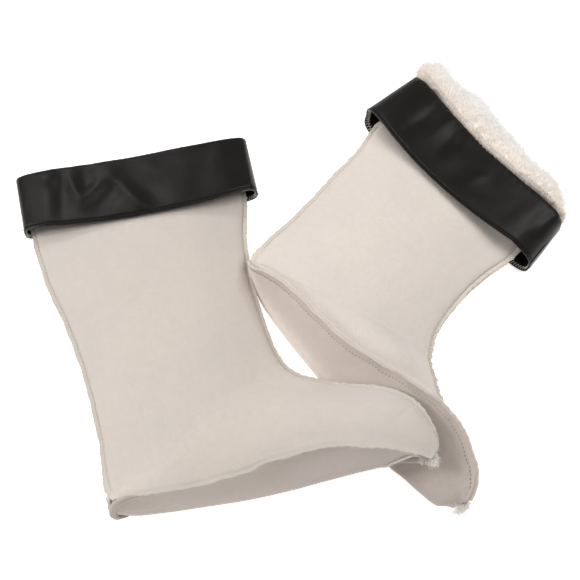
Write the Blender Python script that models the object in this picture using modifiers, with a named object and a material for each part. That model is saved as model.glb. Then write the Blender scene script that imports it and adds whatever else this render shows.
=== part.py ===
"""A pair of fur boot liners lying on their sides, the first with its toe across the second.

Each liner is sewn from two side panels, a sole, a turned-down cuff and the fur that lines its mouth.
Run with: blender --background --python part.py
Lengths in the tables are millimetres, measured in a liner's own frame: a runs from heel to toe along
the sole, b from the sole to the mouth, and z up from the surface that the liner lies on.
"""

import math
from bisect import bisect_right
from collections import namedtuple

import bmesh
import bpy
from mathutils import Vector

MM = 0.001

# Thickness of each cloth and the clearance between sewn pieces
PANEL_CLOTH = 2.4
SOLE_CLOTH = 2.9
CUFF_LEATHER = 1.6
SEAM_GAP = 0.3

# Seam allowances stand outside the liner, as a flat fin along every seam
FIN_WIDTH = 5.5
FIN_SHARE_OF_WIDTH = 0.22
FIN_AT_TOE = 1.2
FIN_TAPER = 1.3

# How the upper panel swells between its seams, and how tightly the lower one turns onto the floor
UPPER_SHOULDER_POWER = 3.2
STEEP_FROM = 0.5
STEEP_TO = 1.2
LOWER_SHOULDER = 24.0
LOWER_SHOULDER_POWER = 2.2

# The sole rounds under the liner over this height
SOLE_ROUND = 10.0
SOLE_FULL_HEIGHT = 40.0
SOLE_HANDLE = 0.35
SOLE_GROWTH = 1.5

Outline = namedtuple("Outline", "station front_a front_b back_a back_b sole_a sole_b")
Heights = namedtuple(
    "Heights",
    "station front_z back_z opening swell sole_tuck lift_front lift_back fin_turn",
)
Fold = namedtuple("Fold", "station across length width depth slant")
Cuff = namedtuple(
    "Cuff",
    "hem_front hem_back top_front top_back crown_hem crown_top hem_sag top_sag return_half dents",
)
Dent = namedtuple("Dent", "across along length width depth slant")
Liner = namedtuple("Liner", "name x y turn outline heights folds cuff heel toe sole_flatness fur_profile fur_reach")

# Edges of the first liner as it lies, a row for each section from mouth to toe: the front edge, the
# back edge that becomes the seam of the sole at the heel, and the sole where it is widest
FIRST_OUTLINE = (
    Outline(0, 158, 322, -41, 313, -41, 313),
    Outline(1, 157, 272, -39, 264, -39, 264),
    Outline(2, 151, 229, -32, 217, -32, 217),
    Outline(3, 148, 196, -20, 176, -20, 176),
    Outline(4, 151, 168, -9, 128, -9, 128),
    Outline(5, 155, 143, -3, 84, -3, 84),
    Outline(6, 160, 120, 0, 44, 0, 44),
    Outline(7, 165, 107, 0, 13, 1, 11),
    Outline(8, 168, 102, 3, -4, 5, -5),
    Outline(9, 172, 97, 13, -5.5, 15, -7),
    Outline(10, 178, 92, 28, -5.5, 30, -8),
    Outline(11, 189, 86, 62, -5, 63, -8.5),
    Outline(12, 204, 76, 108, -1, 109, -8.5),
    Outline(13, 221, 65, 150, 7, 150, -7),
    Outline(14, 240, 55, 184, 8, 184, -6),
    Outline(15, 256, 45, 213, 2, 212, -6),
    Outline(16, 268, 33, 236, -4, 235, -6.5),
    Outline(17, 275, 17, 254, -10, 252, -11),
    Outline(18, 278, 5, 263, -13, 261, -15),
    Outline(19, 278, -5, 269, -16, 267, -18),
)
FIRST_HEIGHTS = (
    Heights(0, 20, 20, 0, 35.4, 0, 2.7, 2.7, 0),
    Heights(1, 19, 19, 0, 35.4, 0, 2.7, 2.7, 0),
    Heights(2, 17, 17, 0, 37, 0, 0, 0, 0),
    Heights(4, 17, 19, 0, 40, 0, 0, 0, 0),
    Heights(5, 17, 22, 0, 42, 0, 0, 0, 0),
    Heights(6, 17, 25, 0, 44, 0, 0, 0, 0),
    Heights(7, 17, 28, 0, 45, 0, 0, 0, 0),
    Heights(8, 17, 32, 16, 46, 0, 0, 0, 0),
    Heights(9, 18, 38, 30, 47, 3, 0, 0, 0),
    Heights(10, 18, 42, 37, 48, 7, 0, 0, 0),
    Heights(11, 20, 45, 42, 49, 13, 0, 0, 0),
    Heights(12, 28, 46, 43, 53, 16, 6, 0, 0),
    Heights(13, 43, 50, 44, 58, 16, 27, 3, 0),
    Heights(14, 54, 57, 42, 64, 15, 43, 12, 0),
    Heights(15, 59, 63, 38, 69, 12, 50, 22, 0),
    Heights(16, 60, 65, 32, 69, 9, 51, 30, 0),
    Heights(17, 59, 63, 24, 66, 6, 50, 36, 0),
    Heights(18, 58, 60, 15, 61, 3, 50, 42, 0),
    Heights(19, 57, 58, 8, 58, 0, 51, 47, 0),
)
FIRST_FOLDS = (
    Fold(14.2, 0.30, 26, 7, 1.6, 35),
    Fold(13.0, 0.78, 30, 9, 1.5, -20),
    Fold(3.2, 0.62, 60, 24, 1.2, 20),
)

# The second liner has rolled towards its sole, so its panel drops steeply from the raised sole seam
SECOND_OUTLINE = (
    Outline(0, 136, 227, -42, 228, -42, 228),
    Outline(1, 143, 180, -40, 182, -40, 182),
    Outline(2, 141, 153, -31, 152, -31, 152),
    Outline(3, 143, 128, -25, 118, -25, 118),
    Outline(4, 147, 105, -18, 84, -18, 84),
    Outline(5, 152, 89, -12, 53, -12, 53),
    Outline(6, 157, 78, -8, 26, -8, 26),
    Outline(7, 161, 72, -4, 10, -3, 9),
    Outline(8, 164, 68, 1, -2, 3, -3),
    Outline(9, 167, 65, 9, -5, 11, -6),
    Outline(10, 170, 62, 22, -2, 27, -11),
    Outline(11, 175, 59, 52, 2, 56, -15.5),
    Outline(12, 180, 56, 90, 2, 91, -18.5),
    Outline(13, 186, 53, 124, 4, 121, -20),
    Outline(14, 194, 49, 156, 13, 149, -22),
    Outline(15, 204, 45, 184, 22, 174, -24),
    Outline(16, 215, 41, 208, 28, 197, -26),
    Outline(17, 228, 35, 229, 30, 217, -26.5),
    Outline(18, 243, 30, 248, 27, 233, -24),
    Outline(19, 259, 23, 265, 21, 249, -22.5),
    Outline(20, 271, 15, 277, 14, 263, -20.5),
    Outline(21, 278, 8, 284, 6, 273, -17),
    Outline(22, 282, 1, 287, -2, 280, -11),
)
SECOND_HEIGHTS = (
    Heights(0, 20, 20, 0, 35.4, 0, 2.7, 2.7, 0),
    Heights(1, 19, 19, 0, 35.4, 0, 2.7, 2.7, 0),
    Heights(2, 18, 18, 0, 37, 0, 0, 0, 0),
    Heights(4, 18, 21, 0, 40, 0, 0, 0, 0),
    Heights(5, 18, 24, 0, 42, 0, 0, 0, 0),
    Heights(6, 18, 29, 0, 44, 0, 0, 0, 0),
    Heights(7, 18, 35, 0, 46, 0, 0, 0, 0),
    Heights(8, 18, 42, 21, 48, 0, 0, 0, 50),
    Heights(9, 18, 47, 36, 49, 4, 0, 0, 85),
    Heights(10, 18, 51, 47, 50, 9, 0, 0, 98),
    Heights(11, 18, 59, 56, 52, 15, 0, 0, 106),
    Heights(12, 18, 64, 61, 54, 18, 0, 0, 110),
    Heights(13, 18, 66, 63, 54, 18, 0, 0, 114),
    Heights(14, 17, 65, 62, 52, 18, 0, 0, 120),
    Heights(15, 16, 62, 59, 49, 18, 0, 0, 124),
    Heights(16, 15, 59, 56, 45, 18, 0, 0, 126),
    Heights(17, 14, 56, 53, 41, 18, 0, 0, 126),
    Heights(18, 13, 52, 49, 38, 17, 0, 0, 126),
    Heights(19, 12, 47, 44, 34, 14, 0, 0, 126),
    Heights(20, 12, 42, 38, 30, 10, 0, 0, 126),
    Heights(21, 12, 36, 29, 26, 6, 0, 0, 124),
    Heights(22, 12, 29, 19, 22, 2, 0, 0, 110),
)
SECOND_FOLDS = (
    Fold(1.7, 0.55, 80, 16, 1.4, 4),
    Fold(3.4, 0.35, 50, 22, 1.2, 40),
)

# Mouth fur: where each ring of the lip lies, and its size there. Inside the cuff the place is a depth
# in millimetres; beyond it, a share of how far the fur reaches out at that side of the mouth.
FurLip = namedtuple("FurLip", "beyond crown floor half_width")
Reach = namedtuple("Reach", "station length")
FUR_DEEP = -34.0
FUR_CLEAR_OF_FOLD = 1.0
FIRST_FUR = (
    FurLip(FUR_DEEP, 31.9, 7.6, 79),
    FurLip(-12, 31.9, 7.6, 79),
    FurLip(-5, 31.0, 8.4, 78),
    FurLip(-2.5, 28.0, 11.5, 74),
    FurLip(-5, 25.0, 14.6, 68),
    FurLip(-12, 24.0, 15.6, 64),
    FurLip(FUR_DEEP, 24.0, 15.6, 64),
)
SECOND_FUR = (
    FurLip(FUR_DEEP, 31.9, 7.6, 72),
    FurLip(-3, 31.9, 7.6, 73),
    FurLip(0.0, 33.0, 6.5, 75),
    FurLip(0.08, 36.5, 3.5, 88),
    FurLip(0.22, 39.5, 1.0, 95),
    FurLip(0.48, 39.5, 0.4, 99),
    FurLip(0.76, 36.0, 2.0, 97),
    FurLip(0.95, 31.0, 7.0, 92),
    FurLip(1.0, 27.0, 12.0, 86),
    FurLip(0.85, 25.2, 14.6, 79),
    FurLip(0.3, 24.2, 15.6, 68),
    FurLip(FUR_DEEP, 24.0, 15.6, 62),
)
FIRST_REACH = (Reach(-1, 1), Reach(1, 1))
SECOND_REACH = (
    Reach(-1, 20),
    Reach(-0.92, 30),
    Reach(-0.75, 27),
    Reach(-0.45, 30),
    Reach(-0.2, 37),
    Reach(0.05, 31),
    Reach(0.28, 26),
    Reach(0.5, 27),
    Reach(0.8, 21),
    Reach(1, 9),
)

FIRST_CUFF = Cuff(
    hem_front=(168, 271), hem_back=(-45, 262), top_front=(165, 330), top_back=(-48, 320),
    crown_hem=42, crown_top=40.4, hem_sag=9, top_sag=4, return_half=80,
    dents=(
        Dent(-0.62, 0.45, 34, 13, 2.4, 62),
        Dent(-0.22, 0.42, 40, 12, 2.2, -50),
        Dent(0.12, 0.72, 22, 9, 1.6, -70),
        Dent(-0.05, 0.30, 30, 14, 1.4, 20),
    ),
)
SECOND_CUFF = Cuff(
    hem_front=(158, 192), hem_back=(-55, 183), top_front=(147, 243), top_back=(-53, 244),
    crown_hem=43, crown_top=41, hem_sag=13, top_sag=9, return_half=74,
    dents=(
        Dent(-0.28, 0.55, 30, 12, 2.2, 70),
        Dent(0.05, 0.62, 26, 10, 2.0, 80),
        Dent(0.42, 0.60, 24, 12, 1.8, 40),
        Dent(0.80, 0.50, 36, 9, 2.6, 90),
    ),
)
CUFF_MIDDLE_HEIGHT = 19.0
CUFF_END_POWER = 3.6
CUFF_FLAT_BOTTOM = 1.08
CUFF_SLIP = 5.0

# The cuff folds over the mouth and comes down inside as a short return
RETURN_CROWN = 32.2
RETURN_FLOOR = 7.3
MOUTH_HEIGHT = 20.0
MOUTH_POWER = 2.0

LAYOUT_X = -0.85
LAYOUT_Y = -0.72

FIRST = Liner(
    "first", -152.5 + LAYOUT_X, -209.6 + LAYOUT_Y, 9.0, FIRST_OUTLINE, FIRST_HEIGHTS, FIRST_FOLDS,
    FIRST_CUFF, 7.5, 18.5, 0.3, FIRST_FUR, FIRST_REACH,
)
SECOND = Liner(
    "second", -33.8 + LAYOUT_X, 13.0 + LAYOUT_Y, -50.0, SECOND_OUTLINE, SECOND_HEIGHTS, SECOND_FOLDS,
    SECOND_CUFF, 7.5, 22, 1.0, SECOND_FUR, SECOND_REACH,
)

# Sections between two rows of a table, and the shares of their width at which they have points
SECTIONS_PER_ROW = 2
PANEL_SHARES = (0.0, 0.05, 0.12, 0.25, 0.42, 0.58, 0.75, 0.88, 0.95, 1.0)
SOLE_WALL_SHARES = (0.28, 0.52, 0.76, 1.0)
SOLE_UNDER_SHARES = (0.35, 0.7, 1.0)
SOLE_STEPS = 1 + len(SOLE_WALL_SHARES) + len(SOLE_UNDER_SHARES)
CUFF_AROUND = 44
FUR_AROUND = 40

# Where the cuff's own profile has points: share of the outer band, then the fold and the return
CUFF_BAND_SHARES = (0.0, 0.22, 0.44, 0.66, 0.86)
CUFF_FOLD = ((-3.5, 0.0), (-1.0, 0.12), (0.0, 0.5), (-1.0, 0.88), (-3.5, 1.0), (-13.0, 1.0))

MATERIALS = {
    "felt": ((0.72, 0.66, 0.59, 1.0), 0.95),
    "sole_cloth": ((0.60, 0.53, 0.48, 1.0), 0.85),
    "black_leather": ((0.022, 0.021, 0.020, 1.0), 0.42),
    "cream_fur": ((0.86, 0.79, 0.70, 1.0), 1.0),
}


def clear_scene():
    for old in list(bpy.data.objects):
        bpy.data.objects.remove(old)


def new_material(name):
    colour, roughness = MATERIALS[name]
    material = bpy.data.materials.new(name)
    material.use_nodes = True
    shader = material.node_tree.nodes["Principled BSDF"]
    shader.inputs["Base Color"].default_value = colour
    shader.inputs["Roughness"].default_value = roughness
    shader.inputs["Metallic"].default_value = 0.0
    return material


def column_curve(rows, column):
    """A smooth curve through one column of a table, which never swings past the rows' own values."""
    xs = [float(row.station) for row in rows]
    ys = [float(getattr(row, column)) for row in rows]
    steps = [(ys[i + 1] - ys[i]) / (xs[i + 1] - xs[i]) for i in range(len(xs) - 1)]
    slopes = [steps[0]]
    for before, after in zip(steps, steps[1:]):
        same_way = before * after > 0
        slopes.append(2 * before * after / (before + after) if same_way else 0.0)
    slopes.append(steps[-1])

    def value(x):
        i = min(max(bisect_right(xs, x) - 1, 0), len(xs) - 2)
        width = xs[i + 1] - xs[i]
        t = (x - xs[i]) / width
        start = (1 + 2 * t) * (1 - t) ** 2 * ys[i] + t * (1 - t) ** 2 * width * slopes[i]
        end = t * t * (3 - 2 * t) * ys[i + 1] + t * t * (t - 1) * width * slopes[i + 1]
        return start + end

    return value


class Shape:
    """The smooth form of one liner, read off its tables at any station between mouth and toe."""

    def __init__(self, liner):
        self.liner = liner
        self.last = liner.outline[-1].station
        self.curves = {c: column_curve(liner.outline, c) for c in Outline._fields[1:]}
        self.curves.update({c: column_curve(liner.heights, c) for c in Heights._fields[1:]})

    def at(self, column, station):
        return self.curves[column](min(max(station, 0.0), self.last))

    def edge(self, side, station):
        return Vector((self.at(side + "_a", station), self.at(side + "_b", station), 0.0))

    def outward(self, side, station):
        """Horizontal direction out of the liner, square to the front or back edge."""
        step = 0.02
        ahead = self.edge(side, min(station + step, self.last))
        behind = self.edge(side, max(station - step, 0.0))
        along = ahead - behind
        turned = Vector((-along.y, along.x, 0.0)) if side == "front" else Vector((along.y, -along.x, 0.0))
        return turned.normalized()

    def fin_width(self, station):
        """Seams' fins narrow where the panel runs out at the toe."""
        across = self.edge("front", station) - self.edge("back", station)
        rise = self.at("back_z", station) - self.at("front_z", station)
        widest = FIN_SHARE_OF_WIDTH * math.hypot(across.length, rise)
        tapered = FIN_AT_TOE + FIN_TAPER * (self.last - station)
        return min(FIN_WIDTH, widest, tapered)

    def back_fin(self, station):
        """Direction of the back or sole seam's fin, and the side of it on which the upper panel lies."""
        turn = math.radians(self.at("fin_turn", station))
        out = self.outward("back", station)
        along = out * math.cos(turn) + Vector((0, 0, math.sin(turn)))
        panel_side = Vector((0, 0, math.cos(turn))) - out * math.sin(turn)
        return along, panel_side

    def upper(self, station, share):
        """Inner face of the upper panel; share runs from the front edge to the back or sole seam."""
        fin = self.fin_width(station)
        front = self.edge("front", station) + Vector((0, 0, self.at("front_z", station) + SEAM_GAP / 2))
        front_root = front - self.outward("front", station) * fin
        along, panel_side = self.back_fin(station)
        back = self.edge("back", station) + Vector((0, 0, self.at("back_z", station)))
        back = back + panel_side * (SEAM_GAP / 2)
        back_root = back - along * fin
        first, last = PANEL_SHARES[1], PANEL_SHARES[-2]
        if share <= first:
            return front.lerp(front_root, share / first)
        if share >= last:
            return back_root.lerp(back, (share - last) / (1 - last))
        t = (share - first) / (last - first)
        place = front_root.lerp(back_root, t)
        top = self.at("swell", station)
        from_front = max(1 - 2 * t, 0.0) ** UPPER_SHOULDER_POWER
        from_back = max(2 * t - 1, 0.0) ** UPPER_SHOULDER_POWER
        level = top + (front_root.z - top) * from_front + (back_root.z - top) * from_back
        slope = abs(back_root.z - front_root.z) / (back_root - front_root).xy.length
        steep = min(max((slope - STEEP_FROM) / (STEEP_TO - STEEP_FROM), 0.0), 1.0)
        place.z = level + (place.z - level) * steep
        place.z -= self.fold_depth(station, share) * 4 * t * (1 - t)
        return place

    def fold_depth(self, station, share):
        """Depth of the soft folds pressed into the upper panel at one place."""
        place = self.edge("front", station).lerp(self.edge("back", station), share)
        depth = 0.0
        for fold in self.liner.folds:
            centre = self.edge("front", fold.station).lerp(self.edge("back", fold.station), fold.across)
            slant = math.radians(fold.slant)
            away = place - centre
            along = away.x * math.cos(slant) + away.y * math.sin(slant)
            beside = away.y * math.cos(slant) - away.x * math.sin(slant)
            depth += fold.depth * math.exp(-((along / fold.length) ** 2) - (beside / fold.width) ** 2)
        return depth

    def lower_seam(self, station):
        """Edge of the sole under the liner; above the heel it is the back edge itself."""
        height = Vector((0, 0, self.at("back_z", station) - self.at("opening", station)))
        if station <= self.liner.heel - 1:
            return self.edge("back", station) + height
        seam = self.edge("sole", station) - self.outward("sole", station) * self.at("sole_tuck", station)
        above_heel = min(max(self.liner.heel - station, 0.0), 1.0)
        seam = seam.lerp(self.edge("back", station), above_heel)
        return seam + height

    def lower(self, station, share):
        """Inner face of the lower panel, which turns down from its seams and lies on the floor."""
        fin = self.fin_width(station)
        heel_share = min(max(station - self.liner.heel + 1, 0.0), 1.0)
        out = self.outward("back", station).lerp(self.outward("sole", station), heel_share).normalized()
        front = self.edge("front", station) + Vector((0, 0, self.at("front_z", station) - SEAM_GAP / 2))
        back = self.lower_seam(station) - out * (SEAM_GAP * heel_share)
        back -= Vector((0, 0, SEAM_GAP / 2 * (1 - heel_share)))
        front_root = front - self.outward("front", station) * fin
        back_root = back - out * fin
        first, last = PANEL_SHARES[1], PANEL_SHARES[-2]
        if share <= first:
            return front.lerp(front_root, share / first)
        if share >= last:
            return back_root.lerp(back, (share - last) / (1 - last))
        t = (share - first) / (last - first)
        place = front_root.lerp(back_root, t)
        width = (front_root.xy - back_root.xy).length
        shoulder = min(LOWER_SHOULDER, width / 2)
        floor = PANEL_CLOTH + (1 - t) * self.at("lift_front", station) + t * self.at("lift_back", station)
        rise = (front.z - floor) * shoulder_share(width * t, shoulder)
        rise += (back.z - floor) * shoulder_share(width * (1 - t), shoulder)
        place.z = floor + rise
        return place

    def sole(self, station, step):
        """Inner face of the sole, which starts and ends as a plain strip between its two seams."""
        start, end = self.full_sole(station, 0), self.full_sole(station, SOLE_STEPS)
        from_end = min(station - self.liner.heel, self.liner.toe - station)
        grown = min(from_end / SOLE_GROWTH, 1.0)
        return start.lerp(end, step / SOLE_STEPS).lerp(self.full_sole(station, step), grown)

    def full_sole(self, station, step):
        """The sole from its fin at the upper seam down its wall and under the liner."""
        along, panel_side = self.back_fin(station)
        edge = self.edge("back", station) + Vector((0, 0, self.at("back_z", station)))
        edge = edge - panel_side * (SEAM_GAP / 2)
        root = edge - along * self.fin_width(station)
        under = self.lower_seam(station)
        opening = min(1.0, self.at("opening", station) / SOLE_FULL_HEIGHT)
        widest = self.edge("sole", station)
        widest.z = under.z + SOLE_ROUND * opening
        if step == 0:
            return edge
        if step == 1:
            return root
        if step <= 1 + len(SOLE_WALL_SHARES):
            t = SOLE_WALL_SHARES[step - 2]
            fall = root - widest
            handle = fall.length * SOLE_HANDLE
            flat = self.liner.sole_flatness
            bend = Vector((0, 0, handle)).lerp(fall.normalized() * handle, flat)
            return bezier(root, root - bend, widest + bend, widest, t)
        t = SOLE_UNDER_SHARES[step - 2 - len(SOLE_WALL_SHARES)]
        angle = t * math.pi / 2
        tuck = widest.xy - under.xy
        place = under.copy()
        place.x += tuck.x * math.cos(angle)
        place.y += tuck.y * math.cos(angle)
        place.z = widest.z - (widest.z - under.z) * math.sin(angle)
        return place


def shoulder_share(distance, shoulder):
    """1 at a seam, falling to 0 where the panel has reached the floor."""
    return (1 - min(distance / shoulder, 1.0)) ** LOWER_SHOULDER_POWER


def bezier(start, leave, arrive, end, t):
    u = 1 - t
    return start * u**3 + leave * (3 * u * u * t) + arrive * (3 * u * t * t) + end * t**3


def stations_between(first, last, per_row):
    count = round((last - first) * per_row)
    return [first + i / per_row for i in range(count + 1)]


def placed_grid(name, columns, rows, point, wrap_columns=False, wrap_rows=False):
    """A grid primitive whose crossing (i, j) is moved to point(i, j); wrapped sides are joined."""
    mesh = bpy.data.meshes.new(name)
    grid = bmesh.new()
    bmesh.ops.create_grid(grid, x_segments=columns, y_segments=rows, size=1.0)
    for vert in grid.verts:
        i = round((vert.co.x + 1) / 2 * columns)
        j = round((vert.co.y + 1) / 2 * rows)
        if wrap_columns:
            i %= columns
        if wrap_rows:
            j %= rows
        vert.co = point(i, j) * MM
    if wrap_columns or wrap_rows:
        bmesh.ops.remove_doubles(grid, verts=grid.verts, dist=1e-6)
    grid.to_mesh(mesh)
    grid.free()
    mesh.shade_smooth()
    return bpy.data.objects.new(name, mesh)


def add_thickness(obj, thickness, side):
    solidify = obj.modifiers.new("cloth", "SOLIDIFY")
    solidify.thickness = thickness * MM
    solidify.offset = side


def finish(obj, material, parent, collection):
    obj.data.materials.append(material)
    collection.objects.link(obj)
    obj.parent = parent


def upper_panel(liner, shape):
    stations = stations_between(0, shape.last, SECTIONS_PER_ROW)
    name = f"{liner.name}_upper_panel"

    def point(i, j):
        return shape.upper(stations[i], PANEL_SHARES[j])

    panel = placed_grid(name, len(stations) - 1, len(PANEL_SHARES) - 1, point)
    add_thickness(panel, PANEL_CLOTH, -1)
    return panel


def lower_panel(liner, shape):
    stations = stations_between(0, shape.last, SECTIONS_PER_ROW)
    name = f"{liner.name}_lower_panel"

    def point(i, j):
        return shape.lower(stations[i], PANEL_SHARES[j])

    panel = placed_grid(name, len(stations) - 1, len(PANEL_SHARES) - 1, point)
    add_thickness(panel, PANEL_CLOTH, 1)
    return panel


def sole(liner, shape):
    stations = stations_between(liner.heel, liner.toe, SECTIONS_PER_ROW)

    def point(i, j):
        return shape.sole(stations[i], j)

    piece = placed_grid(f"{liner.name}_sole", len(stations) - 1, SOLE_STEPS, point)
    add_thickness(piece, SOLE_CLOTH, -1)
    return piece


def ring_point(front, back, height, crown, floor, power, angle, sag, slip=0.0):
    """A point round a flattened tube between two plan points, level with the floor underneath.

    The upper side sags and the lower side slips towards the toe by the given lengths.
    """
    middle = (front + back) / 2
    half = (front - back) / 2
    across = math.copysign(abs(math.cos(angle)) ** (2 / power), math.cos(angle))
    rise = math.copysign(abs(math.sin(angle)) ** (2 / power), math.sin(angle))
    place = middle + half * across
    toe_wards = Vector((half.y, -half.x)).normalized()
    if rise >= 0:
        z = height + rise * (crown - height)
        place = place + toe_wards * (sag * (1 - across * across) * rise)
    else:
        z = max(floor, height + CUFF_FLAT_BOTTOM * rise * (height - floor))
        place = place - toe_wards * (slip * rise)
    return Vector((place.x, place.y, z)), across


def cuff(liner):
    """The leather cuff: a band outside the shaft, folded over the mouth, with a return inside."""
    shape = liner.cuff
    hem_front, hem_back = Vector(shape.hem_front), Vector(shape.hem_back)
    top_front, top_back = Vector(shape.top_front), Vector(shape.top_back)
    band_length = ((top_front + top_back) / 2 - (hem_front + hem_back) / 2).length
    profile = [(-band_length * (1 - s), 0.0) for s in CUFF_BAND_SHARES] + list(CUFF_FOLD)

    def point(i, j):
        angle = 2 * math.pi * i / CUFF_AROUND
        axial, inner = profile[j]
        along = 1 + axial / band_length
        front = hem_front.lerp(top_front, min(along, 1.0))
        back = hem_back.lerp(top_back, min(along, 1.0))
        crown = shape.crown_hem + (shape.crown_top - shape.crown_hem) * along
        sag = shape.hem_sag + (shape.top_sag - shape.hem_sag) * along
        slip = CUFF_SLIP * max(1 - along, 0.0)
        outer, across = ring_point(
            front, back, CUFF_MIDDLE_HEIGHT, crown, 0.0, CUFF_END_POWER, angle, sag, slip
        )
        if outer.z > CUFF_MIDDLE_HEIGHT and inner == 0.0:
            outer.z -= dent_depth(shape.dents, across, along, (front - back).length / 2, band_length)
        if inner == 0.0:
            return outer
        within = return_ring(front, back, shape.return_half, angle, sag)
        return outer.lerp(within, inner)

    piece = placed_grid(f"{liner.name}_cuff", CUFF_AROUND, len(profile) - 1, point, wrap_columns=True)
    add_thickness(piece, CUFF_LEATHER, 1)
    return piece


def return_ring(front, back, half_width, angle, sag):
    middle = (front + back) / 2
    half = (front - back).normalized() * half_width
    place, _ = ring_point(
        middle + half, middle - half, MOUTH_HEIGHT, RETURN_CROWN, RETURN_FLOOR, MOUTH_POWER, angle, sag
    )
    return place


def dent_depth(dents, across, along, half_width, band_length):
    depth = 0.0
    for dent in dents:
        slant = math.radians(dent.slant)
        x = (across - dent.across) * half_width
        y = (along - dent.along) * band_length
        forward = x * math.cos(slant) + y * math.sin(slant)
        beside = y * math.cos(slant) - x * math.sin(slant)
        depth += dent.depth * math.exp(-((forward / dent.length) ** 2) - (beside / dent.width) ** 2)
    return depth


def mouth_fur(liner):
    """The fur lining's lip, a closed ring with a slit for the foot between its upper and lower pile."""
    shape = liner.cuff
    top_front, top_back = Vector(shape.top_front), Vector(shape.top_back)
    middle = (top_front + top_back) / 2
    across = (top_front - top_back).normalized()
    up_shaft = Vector((-across.y, across.x))
    rings = list(reversed(liner.fur_profile))
    count = len(rings)
    reach = column_curve(liner.fur_reach, "length")

    def point(i, j):
        angle = 2 * math.pi * i / FUR_AROUND
        ring = rings[j]
        beyond = ring.beyond
        if beyond >= 0:
            beyond = FUR_CLEAR_OF_FOLD + ring.beyond * reach(math.cos(angle))
        centre = middle + up_shaft * beyond
        half = across * ring.half_width
        place, _ = ring_point(
            centre + half, centre - half, MOUTH_HEIGHT, ring.crown, ring.floor, MOUTH_POWER,
            angle, shape.top_sag,
        )
        return place

    return placed_grid(
        f"{liner.name}_mouth_fur", FUR_AROUND, count, point, wrap_columns=True, wrap_rows=True
    )


def build_liner(liner, materials, collection):
    place = bpy.data.objects.new(f"{liner.name}_liner", None)
    place.location = (liner.x * MM, liner.y * MM, 0.0)
    place.rotation_euler = (0.0, 0.0, math.radians(liner.turn))
    collection.objects.link(place)
    shape = Shape(liner)
    finish(upper_panel(liner, shape), materials["felt"], place, collection)
    finish(lower_panel(liner, shape), materials["felt"], place, collection)
    finish(sole(liner, shape), materials["sole_cloth"], place, collection)
    finish(cuff(liner), materials["black_leather"], place, collection)
    finish(mouth_fur(liner), materials["cream_fur"], place, collection)


def main():
    clear_scene()
    collection = bpy.data.collections.new("pair_of_boot_liners")
    bpy.context.scene.collection.children.link(collection)
    materials = {name: new_material(name) for name in MATERIALS}
    for liner in (FIRST, SECOND):
        build_liner(liner, materials, collection)


main()
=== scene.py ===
"""Dresses a pair of fur boot liners that lie on their sides, one toe across the other liner's sole.

Every piece is sampled from one smooth form for each liner, read off the tables below. Lengths in the
tables are millimetres in a liner's own frame: a runs from heel to toe along the sole, b from the sole
to the mouth, and z up from the surface. The surface is at z 0, and the pair stands about the origin.
"""

import math
from bisect import bisect_right
from collections import namedtuple

import bmesh
import bpy
import numpy as np
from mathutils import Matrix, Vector, noise


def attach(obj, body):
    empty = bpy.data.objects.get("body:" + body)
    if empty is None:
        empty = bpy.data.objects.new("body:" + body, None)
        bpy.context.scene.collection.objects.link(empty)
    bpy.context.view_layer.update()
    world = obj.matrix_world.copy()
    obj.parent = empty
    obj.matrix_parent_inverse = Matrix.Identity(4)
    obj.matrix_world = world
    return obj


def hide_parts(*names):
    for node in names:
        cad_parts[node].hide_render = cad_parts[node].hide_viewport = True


bl_info = {
    "name": "Pair of boot liners",
    "version": (1, 0, 0),
    "blender": (4, 5, 0),
    "location": "3D View > Sidebar > Boot liners",
    "description": "Dresses a pair of boot liners in knit, leather and fur",
    "category": "Object",
}

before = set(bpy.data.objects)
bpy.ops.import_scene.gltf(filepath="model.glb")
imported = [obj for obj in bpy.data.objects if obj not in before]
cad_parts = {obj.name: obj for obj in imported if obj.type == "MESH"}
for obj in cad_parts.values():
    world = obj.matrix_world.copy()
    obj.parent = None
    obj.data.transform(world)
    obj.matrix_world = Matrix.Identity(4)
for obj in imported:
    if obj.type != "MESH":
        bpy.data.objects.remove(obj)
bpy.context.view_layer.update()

MM = 0.001
UP = Vector((0.0, 0.0, 1.0))

# Thickness of each cloth, and the clearance between the two layers of a seam
PANEL_CLOTH = 2.4
SOLE_CLOTH = 2.9
CUFF_LEATHER = 1.6
SEAM_GAP = 0.3

# Seam allowances stand outside the liner, as a flat fin along every seam, which narrows at the toe
FIN_WIDTH = 4.0
FIN_SHARE_OF_WIDTH = 0.22
FIN_AT_TOE = 1.2
FIN_TAPER = 1.3

# How the upper panel swells between its seams, and how tightly the lower one turns onto the floor
UPPER_SHOULDER_POWER = 2.7
STEEP_FROM = 0.5
STEEP_TO = 1.2
LOWER_SHOULDER = 24.0
LOWER_SHOULDER_POWER = 2.2

# The sole rounds under the liner over a height, which it has in full where the liner stands open that
# far; its wall bows out by a share of its height, and its ends grow to full width over some stations
SOLE_ROUND = 10.0
SOLE_FULL_HEIGHT = 40.0
SOLE_HANDLE = 0.35
SOLE_GROWTH = 1.5

Outline = namedtuple("Outline", "station front_a front_b back_a back_b sole_a sole_b")
Heights = namedtuple(
    "Heights", "station front_z back_z opening swell sole_tuck lift_front lift_back fin_turn"
)
Fold = namedtuple("Fold", "station across length width depth slant")
Cuff = namedtuple(
    "Cuff", "hem_front hem_back top_front top_back crown_hem crown_top hem_sag top_sag return_half"
)
Dent = namedtuple("Dent", "across along length width depth slant")
Liner = namedtuple(
    "Liner", "name x y turn outline heights folds cuff heel toe sole_flatness fur_profile fur_reach"
)


def table(kind, *rows):
    """Rows of one kind, whose numbers stand in the order of the kind's names."""
    return [kind(*row) for row in rows]



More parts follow.
